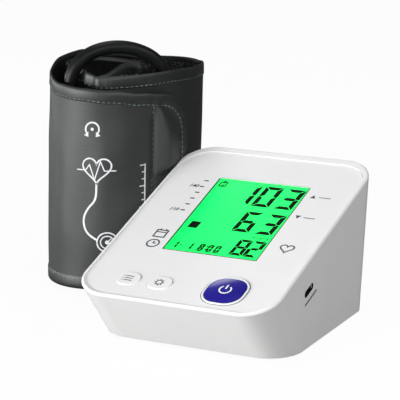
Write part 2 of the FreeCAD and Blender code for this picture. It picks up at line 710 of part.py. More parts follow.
def battery_door():
    """Door over the cells, hinged along its front edge."""
    grow = DOOR_LEDGE - DOOR_CLEAR
    door = bay_box(grow, STAND_HEIGHT, DOOR_TOP)
    grips = [rod(GRIP_RADIUS, (-GRIP_LENGTH / 2, BAY_BACK - GRIP_INSET - GRIP_PITCH * k, STAND_HEIGHT),
                 (1, 0, 0), GRIP_LENGTH) for k in range(GRIP_COUNT)]
    return door.cut(grips)


def cell_x(index):
    """Middle of a cell across the bay."""
    return (index - (CELL_COUNT - 1) / 2) * CELL_PITCH


def battery_cell(index):
    """AA cell; neighbours face opposite ways."""
    y0 = BAY_FRONT + CONTACT_THICKNESS
    y1 = BAY_BACK - CONTACT_THICKNESS
    forward = index % 2 == 0
    nub = (cell_x(index), y0 if forward else y1, CELL_Z)
    way = 1 if forward else -1
    body = (cell_x(index), nub[1] + way * CELL_NUB, CELL_Z)
    can = rod(CELL_RADIUS, body, (0, way, 0), CELL_LENGTH)
    return can.fuse(rod(CELL_NUB_RADIUS, nub, (0, way, 0), CELL_NUB + 0.5))


def battery_contacts():
    """Metal plates at both ends of the bay."""
    solids = []
    half = CELL_RADIUS - 1.5
    for index in range(CELL_COUNT):
        for y in (BAY_FRONT, BAY_BACK - CONTACT_THICKNESS):
            solids.append(box(cell_x(index) - half, cell_x(index) + half, y, y + CONTACT_THICKNESS,
                              CELL_Z - half, CELL_Z + half))
    return group(solids)


def battery_springs():
    """Conical springs against the flat ends of the cells."""
    solids = []
    room = BAY_BACK - BAY_FRONT - 2 * CONTACT_THICKNESS - CELL_NUB - CELL_LENGTH
    for index in range(CELL_COUNT):
        forward = index % 2 == 0
        y = BAY_BACK - CONTACT_THICKNESS if forward else BAY_FRONT + CONTACT_THICKNESS
        way = -1 if forward else 1
        foot = Vector(cell_x(index), y, CELL_Z)
        cone = Part.makeCone(SPRING_FOOT, SPRING_TIP, room, foot, Vector(0, way, 0))
        hollow = Part.makeCone(SPRING_FOOT - SPRING_WIRE, SPRING_TIP - SPRING_WIRE, room, foot, Vector(0, way, 0))
        solids.append(cone.cut(hollow))
    return group(solids)


def rubber_feet():
    """Four feet seated in the base."""
    solids = []
    for x, y in foot_places():
        foot = rod(FOOT_RADIUS - 0.05, (x, y, 0), (0, 0, 1), STAND_HEIGHT + FOOT_SEAT)
        lower = [edge for edge in foot.Edges if all(abs(v.Z) < 1e-6 for v in edge.Vertexes)]
        solids.append(foot.makeFillet(0.4, lower))
    return group(solids)


def screw_seat():
    """Height of the shoulder under a case screw's head."""
    return STAND_HEIGHT + SCREW_RECESS + SCREW_HEAD_HEIGHT


def case_screw_tip():
    """Height of the case screws' points."""
    return screw_seat() + CASE_SCREW_LENGTH


def case_screws():
    """Four screws from the base up into the housing's bosses."""
    seat = screw_seat()
    solids = []
    for x, y in case_screw_places():
        head = rod(SCREW_HEAD_RADIUS, (x, y, seat - SCREW_HEAD_HEIGHT), (0, 0, 1), SCREW_HEAD_HEIGHT)
        shank = rod(CASE_SCREW_RADIUS, (x, y, seat - 0.5), (0, 0, 1), case_screw_tip() - seat + 0.5)
        solids.append(head.fuse(shank))
    return group(solids)


# ---- air system ----

def motor_can():
    """Hollow motor body with a bearing hole in each end."""
    can = rod(MOTOR_RADIUS, (HEAD_X, PUMP_Y, PUMP_Z), (1, 0, 0), MOTOR_LENGTH)
    room = rod(MOTOR_RADIUS - MOTOR_WALL, (HEAD_X + 2, PUMP_Y, PUMP_Z), (1, 0, 0), MOTOR_LENGTH - 4)
    bearing = rod(SHAFT_RADIUS + SHAFT_CLEAR, (HEAD_X - 1, PUMP_Y, PUMP_Z), (1, 0, 0), MOTOR_LENGTH + 2)
    return can.cut([room, bearing])


def pump_rotor():
    """Armature, shaft and eccentric, which turn together."""
    middle = HEAD_X + MOTOR_LENGTH / 2
    armature = rod(ROTOR_RADIUS, (middle - ROTOR_LENGTH / 2, PUMP_Y, PUMP_Z), (1, 0, 0), ROTOR_LENGTH)
    tip = HEAD_X - CAM_LENGTH - 3
    shaft = rod(SHAFT_RADIUS, (tip, PUMP_Y, PUMP_Z), (1, 0, 0), MOTOR_FRONT + 1.5 - tip)
    cam = rod(CAM_RADIUS, (tip, PUMP_Y + CAM_OFFSET, PUMP_Z), (1, 0, 0), CAM_LENGTH)
    return armature.fuse([shaft, cam])


def head_block(x0, x1, inset):
    """Square block with rounded corners about the pump axis."""
    half = HEAD_SIDE / 2 - inset
    flat = plate(-half, half, -half, half, 0, x1 - x0, HEAD_CORNER - inset)
    flat.Placement = FreeCAD.Placement(Vector(x0, PUMP_Y, PUMP_Z),
                                       FreeCAD.Rotation(Vector(0, 1, 0), Vector(0, 0, 1), Vector(1, 0, 0)))
    return flat


def diaphragm_x():
    """The diaphragm's face on the eccentric's side."""
    return HEAD_X - CAM_LENGTH - 5


def pump_head():
    """Housing for the eccentric and the valves, with the outlet nozzle."""
    body = head_block(NOZZLE_X, HEAD_X, 0)
    room = head_block(diaphragm_x(), HEAD_X - HEAD_WALL, HEAD_WALL)
    seat = head_block(diaphragm_x() - DIAPHRAGM_THICKNESS, diaphragm_x(), HEAD_WALL / 2)
    bearing = rod(SHAFT_RADIUS + 0.5, (HEAD_X - HEAD_WALL - 1, PUMP_Y, PUMP_Z), (1, 0, 0), HEAD_WALL + 2)
    nozzle = rod(NOZZLE_RADIUS, (PUMP_TIP, PUMP_Y, PUMP_Z), (1, 0, 0), NOZZLE_LENGTH + 1)
    bore = rod(NOZZLE_BORE, (PUMP_TIP - 1, PUMP_Y, PUMP_Z), (1, 0, 0), NOZZLE_LENGTH + 4)
    return body.cut([room, seat, bearing]).fuse(nozzle).cut(bore)


def pump_diaphragm():
    """Rubber sheet with three cups."""
    gap = LAYER_GAP
    x0 = diaphragm_x() - DIAPHRAGM_THICKNESS + gap
    sheet = head_block(x0, diaphragm_x() - gap, HEAD_WALL / 2 + gap)
    cups = []
    for k in range(CUP_COUNT):
        angle = 2 * pi * k / CUP_COUNT
        centre = (diaphragm_x() - CUP_SUNK, PUMP_Y + CUP_CIRCLE * cos(angle), PUMP_Z + CUP_CIRCLE * sin(angle))
        cups.append(rod(CUP_RADIUS, centre, (1, 0, 0), CUP_SUNK + CUP_PROUD))
    return sheet.fuse(cups)


def pump_cradle():
    """Rubber cradle between the battery bay's roof and the motor."""
    top = PUMP_Z - MOTOR_RADIUS * CRADLE_WRAP
    block = box(HEAD_X + CRADLE_INSET, MOTOR_FRONT - CRADLE_INSET, PUMP_Y - CRADLE_HALF,
                PUMP_Y + CRADLE_HALF, BAY_ROOF, top)
    return block.cut(rod(MOTOR_RADIUS, (HEAD_X, PUMP_Y, PUMP_Z), (1, 0, 0), MOTOR_LENGTH))


def air_tee():
    """Four-way joint between the pump, the socket, the valve and the sensor."""
    centre = Vector(TEE_X, PUMP_Y, PUMP_Z)
    body = Part.makeSphere(TEE_RADIUS, centre)
    ways = [Vector(1, 0, 0), Vector(-1, 0, 0), Vector(0, -1, 0), Vector(0, -sin(TILT), cos(TILT))]
    arms = [Part.makeCylinder(NOZZLE_RADIUS, TEE_REACH, centre, way) for way in ways]
    bores = [Part.makeCylinder(NOZZLE_BORE, TEE_REACH + 1, centre, way) for way in ways]
    return body.fuse(arms).cut(bores)


def bent_tube(radius):
    """Rod along the bent tube's line, from the tee round to the socket's elbow."""
    reach = TEE_REACH - TUBE_OVERLAP
    start = Vector(TEE_X - reach, PUMP_Y, PUMP_Z)
    bend_in = Vector(ELBOW_X + TUBE_BEND, PUMP_Y, PUMP_Z)
    share = TUBE_BEND * (1 - cos(pi / 4))
    middle = Vector(ELBOW_X + share, PUMP_Y - share, PUMP_Z)
    bend_out = Vector(ELBOW_X, PUMP_Y - TUBE_BEND, PUMP_Z)
    end = Vector(ELBOW_X, ELBOW_TIP - TUBE_OVERLAP, PUMP_Z)
    path = Part.Wire([Part.LineSegment(start, bend_in).toShape(), Part.Arc(bend_in, middle, bend_out).toShape(),
                      Part.LineSegment(bend_out, end).toShape()])
    section = Part.Wire(Part.makeCircle(radius, start, Vector(-1, 0, 0)))
    return path.makePipeShell([section], True, False)


def air_tubes():
    """Lengths of soft tube pushed over facing nozzles, one of them bent."""
    outer = TUBE_BORE + TUBE_WALL
    reach = TEE_REACH - TUBE_OVERLAP
    pump = pipe(outer, TUBE_BORE, (TEE_X + reach, PUMP_Y, PUMP_Z), (1, 0, 0),
                PUMP_TIP + TUBE_OVERLAP - TEE_X - reach)
    socket = bent_tube(outer).cut(bent_tube(TUBE_BORE))
    valve = pipe(outer, TUBE_BORE, (TEE_X, VALVE_BACK, PUMP_Z), (0, 1, 0), PUMP_Y - reach - VALVE_BACK)
    s, n = sensor_place()
    sensor = on_panel(pipe(outer, TUBE_BORE, (TEE_X, s, n + reach), (0, 0, 1),
                           BOARD_UNDER - SENSOR_HEIGHT - n - reach))
    return group([pump, socket, valve, sensor])


def sensor_place():
    """The tee's middle in panel coordinates: the sensor sits straight above it."""
    point = PANEL.inverse().multVec(Vector(TEE_X, PUMP_Y, PUMP_Z))
    return point.y, point.z


def pressure_sensor():
    """Sensor on the board, its nozzle facing the tee."""
    s, n = sensor_place()
    under = BOARD_UNDER - SENSOR_HEIGHT
    body = centred_plate(TEE_X, s, SENSOR_SIDE, SENSOR_SIDE, under, BOARD_UNDER, 0.5)
    nozzle = rod(NOZZLE_RADIUS, (TEE_X, s, under - SENSOR_NOZZLE), (0, 0, 1), SENSOR_NOZZLE + 0.5)
    bore = rod(NOZZLE_BORE, (TEE_X, s, under - SENSOR_NOZZLE - 1), (0, 0, 1), SENSOR_NOZZLE + 4)
    return on_panel(body.fuse(nozzle).cut(bore))


def air_socket():
    """Socket in the left wall that the hose's plug pushes into, with an elbow inside."""
    face = -SOCKET_FACE
    flange = rod(SOCKET_FLANGE, (face, SOCKET_Y, PUMP_Z), (1, 0, 0), SOCKET_FLANGE_THICKNESS)
    outer = [edge for edge in flange.Edges if all(abs(v.X - face) < 1e-6 for v in edge.Vertexes)]
    flange = flange.makeFillet(0.5, outer)
    body = rod(SOCKET_RADIUS, (face + 0.6, SOCKET_Y, PUMP_Z), (1, 0, 0), ELBOW_X + SOCKET_END_WALL - face - 0.6)
    barb = rod(NOZZLE_RADIUS, (ELBOW_X, SOCKET_Y, PUMP_Z), (0, 1, 0), ELBOW_TIP - SOCKET_Y)
    bore = rod(SOCKET_BORE, (face - 1, SOCKET_Y, PUMP_Z), (1, 0, 0), SOCKET_DEPTH + 1)
    inlet = rod(NOZZLE_BORE, (face, SOCKET_Y, PUMP_Z), (1, 0, 0), ELBOW_X - face)
    outlet = rod(NOZZLE_BORE, (ELBOW_X, SOCKET_Y, PUMP_Z), (0, 1, 0), ELBOW_TIP - SOCKET_Y + 1)
    return flange.fuse([body, barb]).cut([bore, inlet, outlet])


def valve_body():
    """Release valve on the bay's roof, with a nozzle towards the tee."""
    half = VALVE_WIDTH / 2
    block = box(TEE_X - half, TEE_X + half, VALVE_BACK - VALVE_LENGTH, VALVE_BACK,
                BAY_ROOF, BAY_ROOF + VALVE_HEIGHT)
    bore = rod(PLUNGER_RADIUS + PLUNGER_CLEAR, (TEE_X, VALVE_BACK - VALVE_LENGTH - 1, valve_z()), (0, 1, 0),
               PLUNGER_LENGTH + 1 - PLUNGER_OUTSIDE)
    nozzle = rod(NOZZLE_RADIUS, (TEE_X, VALVE_BACK - 1, PUMP_Z), (0, 1, 0), VALVE_NOZZLE + 1)
    channel = rod(NOZZLE_BORE, (TEE_X, VALVE_BACK - 4, PUMP_Z), (0, 1, 0), VALVE_NOZZLE + 5)
    return block.cut(bore).fuse(nozzle).cut(channel)


def valve_z():
    """Height of the valve's plunger."""
    return BAY_ROOF + VALVE_HEIGHT * 0.4


def valve_plunger():
    """Iron plunger that closes the valve."""
    tip = VALVE_BACK - VALVE_LENGTH + PLUNGER_LENGTH - PLUNGER_OUTSIDE - PLUNGER_TRAVEL - FIT
    return rod(PLUNGER_RADIUS, (TEE_X, tip - PLUNGER_LENGTH, valve_z()), (0, 1, 0), PLUNGER_LENGTH)


# ---- cuff ----

def band_steps():
    """Walk the band's outer face: one record for each arc or straight."""
    x, y = BAND_START
    heading = radians(BAND_HEADING)
    along = 0.0
    steps = []
    for radius, amount in BAND_TURNS:
        turn = 0.0 if radius == 0 else radians(amount) * (1 if radius > 0 else -1)
        length = amount if radius == 0 else abs(radius) * radians(amount)
        steps.append((along, length, x, y, heading, radius, turn))
        x, y, heading = walk(x, y, heading, radius, turn, length)
        along += length
    return steps


def walk(x, y, heading, radius, turn, length):
    """Move along one arc or straight; a positive turn is clockwise."""
    if turn == 0:
        return x + length * cos(heading), y + length * sin(heading), heading
    cx, cy = x + radius * sin(heading), y - radius * cos(heading)
    end = heading - turn
    return cx - radius * sin(end), cy + radius * cos(end), end


def band_point(along, depth):
    """Point and heading at a length along the band, a depth in from its outer face."""
    for start, length, x, y, heading, radius, turn in band_steps():
        if along <= start + length + 1e-9:
            share = (along - start) / length
            px, py, way = walk(x, y, heading, radius, turn * share, length * share)
            return px + depth * sin(way), py - depth * cos(way), way
    raise ValueError("beyond the end of the band")


def band_length():
    """Whole length of the band's outer face."""
    start, length = band_steps()[-1][:2]
    return start + length


def strip(start, stop, outer, inner, z0, z1):
    """Solid of the band between two lengths, two depths and two heights."""
    stops = [start] + [step[0] for step in band_steps() if start + 0.05 < step[0] < stop - 0.05] + [stop]

    def side(depth):
        corners = [Vector(*band_point(t, depth)[:2], z0) for t in stops]
        middles = [Vector(*band_point((a + b) / 2, depth)[:2], z0) for a, b in zip(stops, stops[1:])]
        edges = []
        for p, m, q in zip(corners, middles, corners[1:]):
            straight = (p - m).cross(q - m).Length < 1e-6
            edges.append(Part.LineSegment(p, q).toShape() if straight else Part.Arc(p, m, q).toShape())
        return corners, edges

    near, near_edges = side(outer)
    far, far_edges = side(inner)
    caps = [Part.LineSegment(near[end], far[end]).toShape() for end in (0, -1)]
    wire = Part.Wire(Part.__sortEdges__(near_edges + far_edges + caps))
    return Part.Face(wire).extrude(Vector(0, 0, z1 - z0))


def tail_corners(solid):
    """Round the two corners at the tail's end."""
    x, y, way = band_point(0.0, 0.0)
    reach = TAIL_CORNER
    notch = box(-1, reach, -reach, reach, 0, reach + 1)
    notch = notch.cut(rod(reach, (reach, -reach, 0), (0, 1, 0), 2 * reach))
    cutters = []
    for z, flip in ((TAIL_TOP - reach, 0), (TAIL_BOTTOM + reach, 180)):
        cutter = notch.copy()
        cutter.rotate(Vector(0, 0, 0), Vector(1, 0, 0), flip)
        cutter.rotate(Vector(0, 0, 0), Vector(0, 0, 1), degrees(way))
        cutter.translate(Vector(x, y, z))
        cutters.append(cutter)
    return solid.cut(cutters)


def cuff_tail():
    """Outer nylon of the printed outer turn."""
    return tail_corners(strip(0, TAIL_LENGTH, 0, FABRIC, TAIL_BOTTOM, TAIL_TOP))


def cuff_band():
    """Outer nylon of the wider inner turn."""
    return strip(TAIL_LENGTH, band_length(), 0, FABRIC, 0, BAND_HEIGHT)


def tail_lining():
    """Soft lining of the outer turn."""
    return tail_corners(strip(0, TAIL_LENGTH, FABRIC + CORE, BAND, TAIL_BOTTOM, TAIL_TOP))


def band_lining():
    """Soft lining of the inner turn."""
    return strip(TAIL_LENGTH, band_length(), FABRIC + CORE, BAND, 0, BAND_HEIGHT)


def air_bladder():
    """Flat bladder between the fabrics of the outer turn."""
    return strip(BLADDER_START, BLADDER_START + BLADDER_LENGTH,
                 FABRIC + BLADDER_SLACK, FABRIC + CORE - BLADDER_SLACK,
                 TAIL_BOTTOM + BLADDER_MARGIN, TAIL_TOP - BLADDER_MARGIN)


def edge_tape(start, stop, z0, z1):
    """Tape sewn into both long edges, between the fabrics."""
    inner = FABRIC + CORE
    return [strip(start, stop, FABRIC, inner, z0, z0 + BINDING_WIDTH),
            strip(start, stop, FABRIC, inner, z1 - BINDING_WIDTH, z1)]


def tail_binding():
    """Edge tape of the outer turn."""
    tapes = edge_tape(0, TAIL_LENGTH, TAIL_BOTTOM, TAIL_TOP)
    end = strip(0, BINDING_WIDTH, FABRIC, FABRIC + CORE, TAIL_BOTTOM, TAIL_TOP)
    return tail_corners(tapes[0].fuse([tapes[1], end]))


def band_binding():
    """Edge tape of the inner turn."""
    return group(edge_tape(TAIL_LENGTH, band_length(), 0, BAND_HEIGHT))


def hook_patch():
    """Hook fastener inside the tail's end."""
    return strip(HOOK_START, HOOK_START + HOOK_LENGTH, BAND, BAND + PATCH_THICKNESS,
                 TAIL_BOTTOM + 2 * PATCH_MARGIN, TAIL_TOP - 2 * PATCH_MARGIN)


def loop_patch():
    """Loop fastener outside the inner turn, where the tail's hooks meet it."""
    return strip(LOOP_START, LOOP_START + LOOP_LENGTH, -PATCH_THICKNESS, 0,
                 PATCH_MARGIN, BAND_HEIGHT - PATCH_MARGIN)


# ---- hose ----

def port_frame():
    """Foot of the hose port on the lining, its inward way and the hose's line."""
    x, y, way = band_point(PORT_ALONG, BAND)
    inward = Vector(sin(way), -cos(way), 0)
    foot = Vector(x, y, PORT_HEIGHT)
    return foot, inward, foot + inward * PORT_ARM


def hose_port():
    """Moulded elbow that leads the bladder's air up into the hose."""
    foot, inward, corner = port_frame()
    sheet = strip(PORT_ALONG - PORT_FLANGE, PORT_ALONG + PORT_FLANGE, BAND, BAND + PORT_FLANGE_THICKNESS,
                  PORT_HEIGHT - PORT_FLANGE, PORT_HEIGHT + PORT_FLANGE)
    disc = Part.makeCylinder(PORT_FLANGE, 4 * PORT_FLANGE, foot - inward * 2 * PORT_FLANGE, inward)
    flange = sheet.common(disc)
    neck = Part.makeCylinder(PORT_RADIUS, PORT_ARM - 0.6, foot + inward * 0.6, inward)
    ball = Part.makeSphere(PORT_RADIUS, corner)
    rise = Part.makeCylinder(PORT_RADIUS, PORT_RISE, corner, Vector(0, 0, 1))
    bore = Part.makeCylinder(HOSE_BORE, PORT_RISE + 1, corner, Vector(0, 0, 1))
    return flange.fuse([neck, ball, rise]).cut(bore)


def hose_points():
    """The hose's route from the top of its port."""
    top = port_frame()[2] + Vector(0, 0, PORT_RISE)
    return [top, top + Vector(0, 0, HOSE_RISE)] + [Vector(*point) for point in HOSE_ROUTE]


def route_edges(points):
    """Straight runs joined by tangent arcs, as large as their runs allow."""
    edges = []
    last = points[0]
    for before, corner, after in zip(points, points[1:], points[2:]):
        back = before - corner
        ahead = after - corner
        turn = pi - back.getAngle(ahead)
        reach = 0.45 * min(back.Length, ahead.Length)
        back.normalize()
        ahead.normalize()
        radius = reach / tan(turn / 2)
        print("hose bend radius %.1f mm, turn %.0f degrees" % (radius, turn * 180 / pi))
        middle = back + ahead
        middle.normalize()
        touch_in, touch_out = corner + back * reach, corner + ahead * reach
        top = corner + middle * (radius / cos(turn / 2) - radius)
        edges.append(Part.LineSegment(last, touch_in).toShape())
        edges.append(Part.Arc(touch_in, top, touch_out).toShape())
        last = touch_out
    edges.append(Part.LineSegment(last, points[-1]).toShape())
    return edges


def hose():
    """Air hose along its route."""
    edges = route_edges(hose_points())
    path = Part.Wire(edges)
    start = hose_points()[0]
    way = hose_points()[1] - start
    section = Part.Wire(Part.makeCircle(HOSE_RADIUS, start, way))
    tube = path.makePipeShell([section], True, False)
    print("hose %.0f mm long, volume %.4f of section times length"
          % (path.Length, tube.Volume / (pi * HOSE_RADIUS ** 2 * path.Length)))
    return tube


def air_plug():
    """Plug at the hose's far end, which fits the socket in the case."""
    points = hose_points()
    way = points[-1] - points[-2]
    way.normalize()
    end = points[-1]
    grip = Part.makeCylinder(PLUG_RADIUS, PLUG_LENGTH, end, way)
    rims = [edge for edge in grip.Edges if edge.Curve.TypeId == "Part::GeomCircle"]
    grip = grip.makeFillet(1.2, rims)
    nozzle = Part.makeCylinder(PLUG_NOZZLE, PLUG_NOZZLE_LENGTH + 1, end + way * (PLUG_LENGTH - 1), way)
    bore = Part.makeCylinder(NOZZLE_BORE, PLUG_LENGTH + PLUG_NOZZLE_LENGTH - 4, end + way * 6, way)
    return grip.fuse(nozzle).cut(bore)


# ---- the set ----

def all_parts():
    """Every node of the set by name."""
    parts = {
        "upper_housing": upper_housing(),
        "base_cover": base_cover(),
        "battery_door": battery_door(),
        "face_panel": face_panel(),
        "display_window": display_window(),
        "lcd_glass": lcd_glass(),
        "lcd_backlight": lcd_backlight(),
        "lcd_holder": lcd_holder(),
        "zebra_strip": zebra_strip(),
        "start_button": start_button(),
        "start_ring": start_ring(),
        "memory_button": small_button(MEMORY_X),
        "set_button": small_button(SET_X),
        "tact_switches": tact_switches(),
        "main_board": main_board(),
        "board_parts": board_parts(),
        "board_screws": board_screws(),
        "buzzer": buzzer(),
        "usb_socket": usb_socket(),
        "usb_board": usb_board(),
        "battery_contacts": battery_contacts(),
        "battery_springs": battery_springs(),
        "rubber_feet": rubber_feet(),
        "case_screws": case_screws(),
        "motor_can": motor_can(),
        "pump_rotor": pump_rotor(),
        "pump_head": pump_head(),
        "pump_diaphragm": pump_diaphragm(),
        "pump_cradle": pump_cradle(),
        "air_tee": air_tee(),
        "air_tubes": air_tubes(),
        "pressure_sensor": pressure_sensor(),
        "air_socket": air_socket(),
        "valve_body": valve_body(),
        "valve_plunger": valve_plunger(),
        "cuff_tail": cuff_tail(),
        "cuff_band": cuff_band(),
        "tail_lining": tail_lining(),
        "band_lining": band_lining(),
        "tail_binding": tail_binding(),
        "band_binding": band_binding(),
        "air_bladder": air_bladder(),
        "hook_patch": hook_patch(),
        "loop_patch": loop_patch(),
        "hose_port": hose_port(),
        "hose": hose(),
        "air_plug": air_plug(),
    }
    for index in range(CELL_COUNT):
        parts["battery_cell_%d" % (index + 1)] = battery_cell(index)
    return parts


def footprint_middle(parts):
    """Middle of the set's box on the table, leaving out the hose and its plug."""
    total = FreeCAD.BoundBox()
    for name, shape in parts.items():
        if name not in ("hose", "air_plug"):
            total.add(shape.optimalBoundingBox(False, False))
    return Vector((total.XMin + total.XMax) / 2, (total.YMin + total.YMax) / 2, 0)


def main():
    """Build every part, move the origin and write the files."""
    os.makedirs("parts", exist_ok=True)
    parts = all_parts()
    middle = footprint_middle(parts)
    print("origin at x %.3f, y %.3f in case coordinates" % (middle.x, middle.y))
    for name, shape in parts.items():
        placed = shape.copy()
        placed.translate(middle * -1)
        if not placed.isValid():
            print("not valid:", name)
        placed.exportStep("parts/%s.step" % name)
        print("%-18s solids %2d volume %10.1f" % (name, len(placed.Solids), placed.Volume))


main()
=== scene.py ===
"""Desk blood pressure monitor and its rolled arm cuff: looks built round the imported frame."""
import json
import logging
import math
from dataclasses import dataclass, field
from enum import Enum
from typing import Callable, Iterable, Sequence

import bmesh
import bpy
import numpy as np
from bpy.types import Node, NodeSocket, NodeTree, Object
from mathutils import Matrix, Vector
from mathutils.bvhtree import BVHTree


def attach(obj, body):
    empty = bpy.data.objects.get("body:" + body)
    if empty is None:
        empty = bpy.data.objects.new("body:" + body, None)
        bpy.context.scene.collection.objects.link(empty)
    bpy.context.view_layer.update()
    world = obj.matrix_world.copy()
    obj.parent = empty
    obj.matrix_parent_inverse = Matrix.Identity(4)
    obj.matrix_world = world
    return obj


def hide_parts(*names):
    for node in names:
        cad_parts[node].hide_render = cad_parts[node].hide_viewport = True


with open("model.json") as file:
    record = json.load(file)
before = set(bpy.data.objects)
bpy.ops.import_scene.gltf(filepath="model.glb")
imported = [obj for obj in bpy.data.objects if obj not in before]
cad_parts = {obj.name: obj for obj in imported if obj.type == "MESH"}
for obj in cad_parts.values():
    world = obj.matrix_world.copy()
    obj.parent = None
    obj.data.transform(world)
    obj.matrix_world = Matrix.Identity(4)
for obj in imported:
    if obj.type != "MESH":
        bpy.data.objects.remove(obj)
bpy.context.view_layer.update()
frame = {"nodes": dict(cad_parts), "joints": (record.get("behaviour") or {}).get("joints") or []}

LOG = logging.getLogger("monitor")
Colour = tuple[float, float, float]
Point2 = tuple[float, float]
TURN = 2 * math.pi
MM = 1e-3
FILM = 4e-5                     # thickness of a thin print
GAP = 1e-5                      # between a print and the face under it
SHADER = "ShaderNodeTree"
GEOMETRY = "GeometryNodeTree"
SOCKETS = {"Lay": "Vector", "Place": "Vector", "Light": "Color", "Dark": "Color", "Colour": "Color",
           "Geometry": "Geometry", "Material": "Material", "Count": "Int", "Seed": "Int"}


# ---------------------------------------------------------------- small tools

def srgb(shown: Colour) -> Colour:
    """Turns display values from 0 to 255 into a linear colour."""
    shares = (value / 255 for value in shown)
    return tuple(v / 12.92 if v <= 0.04045 else ((v + 0.055) / 1.055) ** 2.4 for v in shares)


def smooth_step(values: np.ndarray) -> np.ndarray:
    """Eases shares from 0 to 1."""
    clipped = np.clip(values, 0.0, 1.0)
    return clipped * clipped * (3.0 - 2.0 * clipped)


def window(values: np.ndarray, low: float, high: float, soft: float) -> np.ndarray:
    """Gives 1 between two limits and 0 outside them, with a fade of soft width inside each."""
    return smooth_step((values - low) / soft) * smooth_step((high - values) / soft)


def new_object(name: str, data: bpy.types.ID) -> Object:
    """Makes an object in the scene's own collection."""
    piece = bpy.data.objects.new(name, data)
    bpy.context.scene.collection.objects.link(piece)
    return piece


class NodeSketch:
    """Adds nodes to a tree, sets them and joins them."""

    def __init__(self, tree: NodeTree) -> None:
        """Starts with an empty tree."""
        self.tree = tree
        tree.nodes.clear()

    def add(self, kind: str, inputs: dict | None = None, **settings: object) -> Node:
        """Adds a node.

        Args:
            kind: Blender's name for the node.
            inputs: Values or output sockets for its inputs, by name or number.
            settings: The node's own properties.

        Returns:
            The node.
        """
        node = self.tree.nodes.new(kind)
        for name, value in settings.items():
            setattr(node, name, value)
        for key, value in (inputs or {}).items():
            if isinstance(value, NodeSocket):
                self.tree.links.new(value, node.inputs[key])
            else:
                node.inputs[key].default_value = value
        return node

    def first(self, kind: str, inputs: dict, **settings: object) -> NodeSocket:
        """Adds a node and gives its first output."""
        return self.add(kind, inputs, **settings).outputs[0]

    def maths(self, operation: str, *values: object) -> NodeSocket:
        """Adds a Math node and gives its output."""
        return self.first("ShaderNodeMath", dict(enumerate(values)), operation=operation)

    def wave(self, place: object, pitch: object, turn: float) -> NodeSocket:
        """Adds a sine that gains so much angle with each pitch."""
        return self.maths("SINE", self.maths("MULTIPLY", self.maths("DIVIDE", place, pitch), turn))

    def noise(self, place: object, scale: object, detail: float, **more: float) -> NodeSocket:
        """Adds a noise texture and gives its value."""
        return self.first("ShaderNodeTexNoise", {"Vector": place, "Scale": scale, "Detail": detail, **more})

    def seen(self) -> NodeSocket:
        """Gives 1 for what the camera sees, straight or through the display window."""
        path = self.add("ShaderNodeLightPath").outputs
        return self.maths("MAXIMUM", path["Is Camera Ray"], path["Is Transmission Ray"])

    def scatter(self, points: dict, shape: NodeSocket, material: NodeSocket,
                smooth: bool = False) -> NodeTree:
        """Ends a geometry group with a copy of a shape on each point.

        Args:
            points: The points, and the copies' turn and scale where they have one.
            shape: The shape.
            material: Its material.
            smooth: Whether its faces are smooth.

        Returns:
            The group.
        """
        placed = self.first("GeometryNodeInstanceOnPoints", {**points, "Instance": shape})
        made = self.first("GeometryNodeRealizeInstances", {0: placed})
        if smooth:
            made = self.first("GeometryNodeSetShadeSmooth", {0: made})
        made = self.first("GeometryNodeSetMaterial", {"Geometry": made, "Material": material})
        self.add("NodeGroupOutput", {0: made})
        return self.tree


def new_group(name: str, kind: str, inputs: str,
              outputs: str) -> tuple[NodeSketch, bpy.types.bpy_prop_collection]:
    """Starts a node group; a socket that SOCKETS doesn't name is a number.

    Args:
        name: The group's name.
        kind: SHADER or GEOMETRY.
        inputs: The names of its inputs, with spaces between them.
        outputs: The names of its outputs.

    Returns:
        Its sketch, and the sockets that bring its inputs.
    """
    tree = bpy.data.node_groups.new(name, kind)
    for labels, way in ((inputs, "INPUT"), (outputs, "OUTPUT")):
        for label in labels.split():
            socket_type = "NodeSocket" + SOCKETS.get(label, "Float")
            tree.interface.new_socket(label, in_out=way, socket_type=socket_type)
    sketch = NodeSketch(tree)
    return sketch, sketch.add("NodeGroupInput").outputs


def grid_faces(number: np.ndarray) -> np.ndarray:
    """Faces of a grid of vertex numbers, each from its lowest corner."""
    corners = [number[:-1, :-1], number[1:, :-1], number[1:, 1:], number[:-1, 1:]]
    return np.stack(corners, axis=-1).reshape(-1, 4)


def mesh_object(name: str, vertices: np.ndarray, faces: Iterable, lay: np.ndarray | None = None,
                crease: float = 40.0, recalculate: bool = True) -> Object:
    """Makes a mesh object at the origin.

    Args:
        name: The piece's name.
        vertices: Points in the row frame, one row each.
        faces: Vertex numbers of each face.
        lay: Flat coordinates of each vertex, in metres, for the cloth's UV map.
        crease: Edges sharper than this many degrees stay sharp.
        recalculate: Whether faces are turned outwards.

    Returns:
        The object, linked to the scene.
    """
    mesh = bpy.data.meshes.new(name)
    mesh.from_pydata(np.asarray(vertices, float).tolist(), [], [list(map(int, face)) for face in faces])
    if lay is not None:
        layer = mesh.uv_layers.new(name="lay")
        corners = np.zeros(len(mesh.loops), np.int32)
        mesh.loops.foreach_get("vertex_index", corners)
        layer.data.foreach_set("uv", np.asarray(lay, np.float32)[corners].ravel())
    if recalculate:
        work = bmesh.new()
        work.from_mesh(mesh)
        bmesh.ops.recalc_face_normals(work, faces=work.faces)
        work.to_mesh(mesh)
        work.free()
    mesh.polygons.foreach_set("use_smooth", [True] * len(mesh.polygons))
    mesh.set_sharp_from_angle(angle=math.radians(crease))
    return new_object(name, mesh)


def bake_modifiers(piece: Object) -> Object:
    """Turns a piece and its modifiers into a plain mesh.

    Args:
        piece: A mesh or text object.

    Returns:
        The plain mesh object, of the same name.
    """
    graph = bpy.context.evaluated_depsgraph_get()
    mesh = bpy.data.meshes.new_from_object(piece.evaluated_get(graph), depsgraph=graph)
    name = piece.name
    bpy.data.objects.remove(piece)
    return new_object(name, mesh)


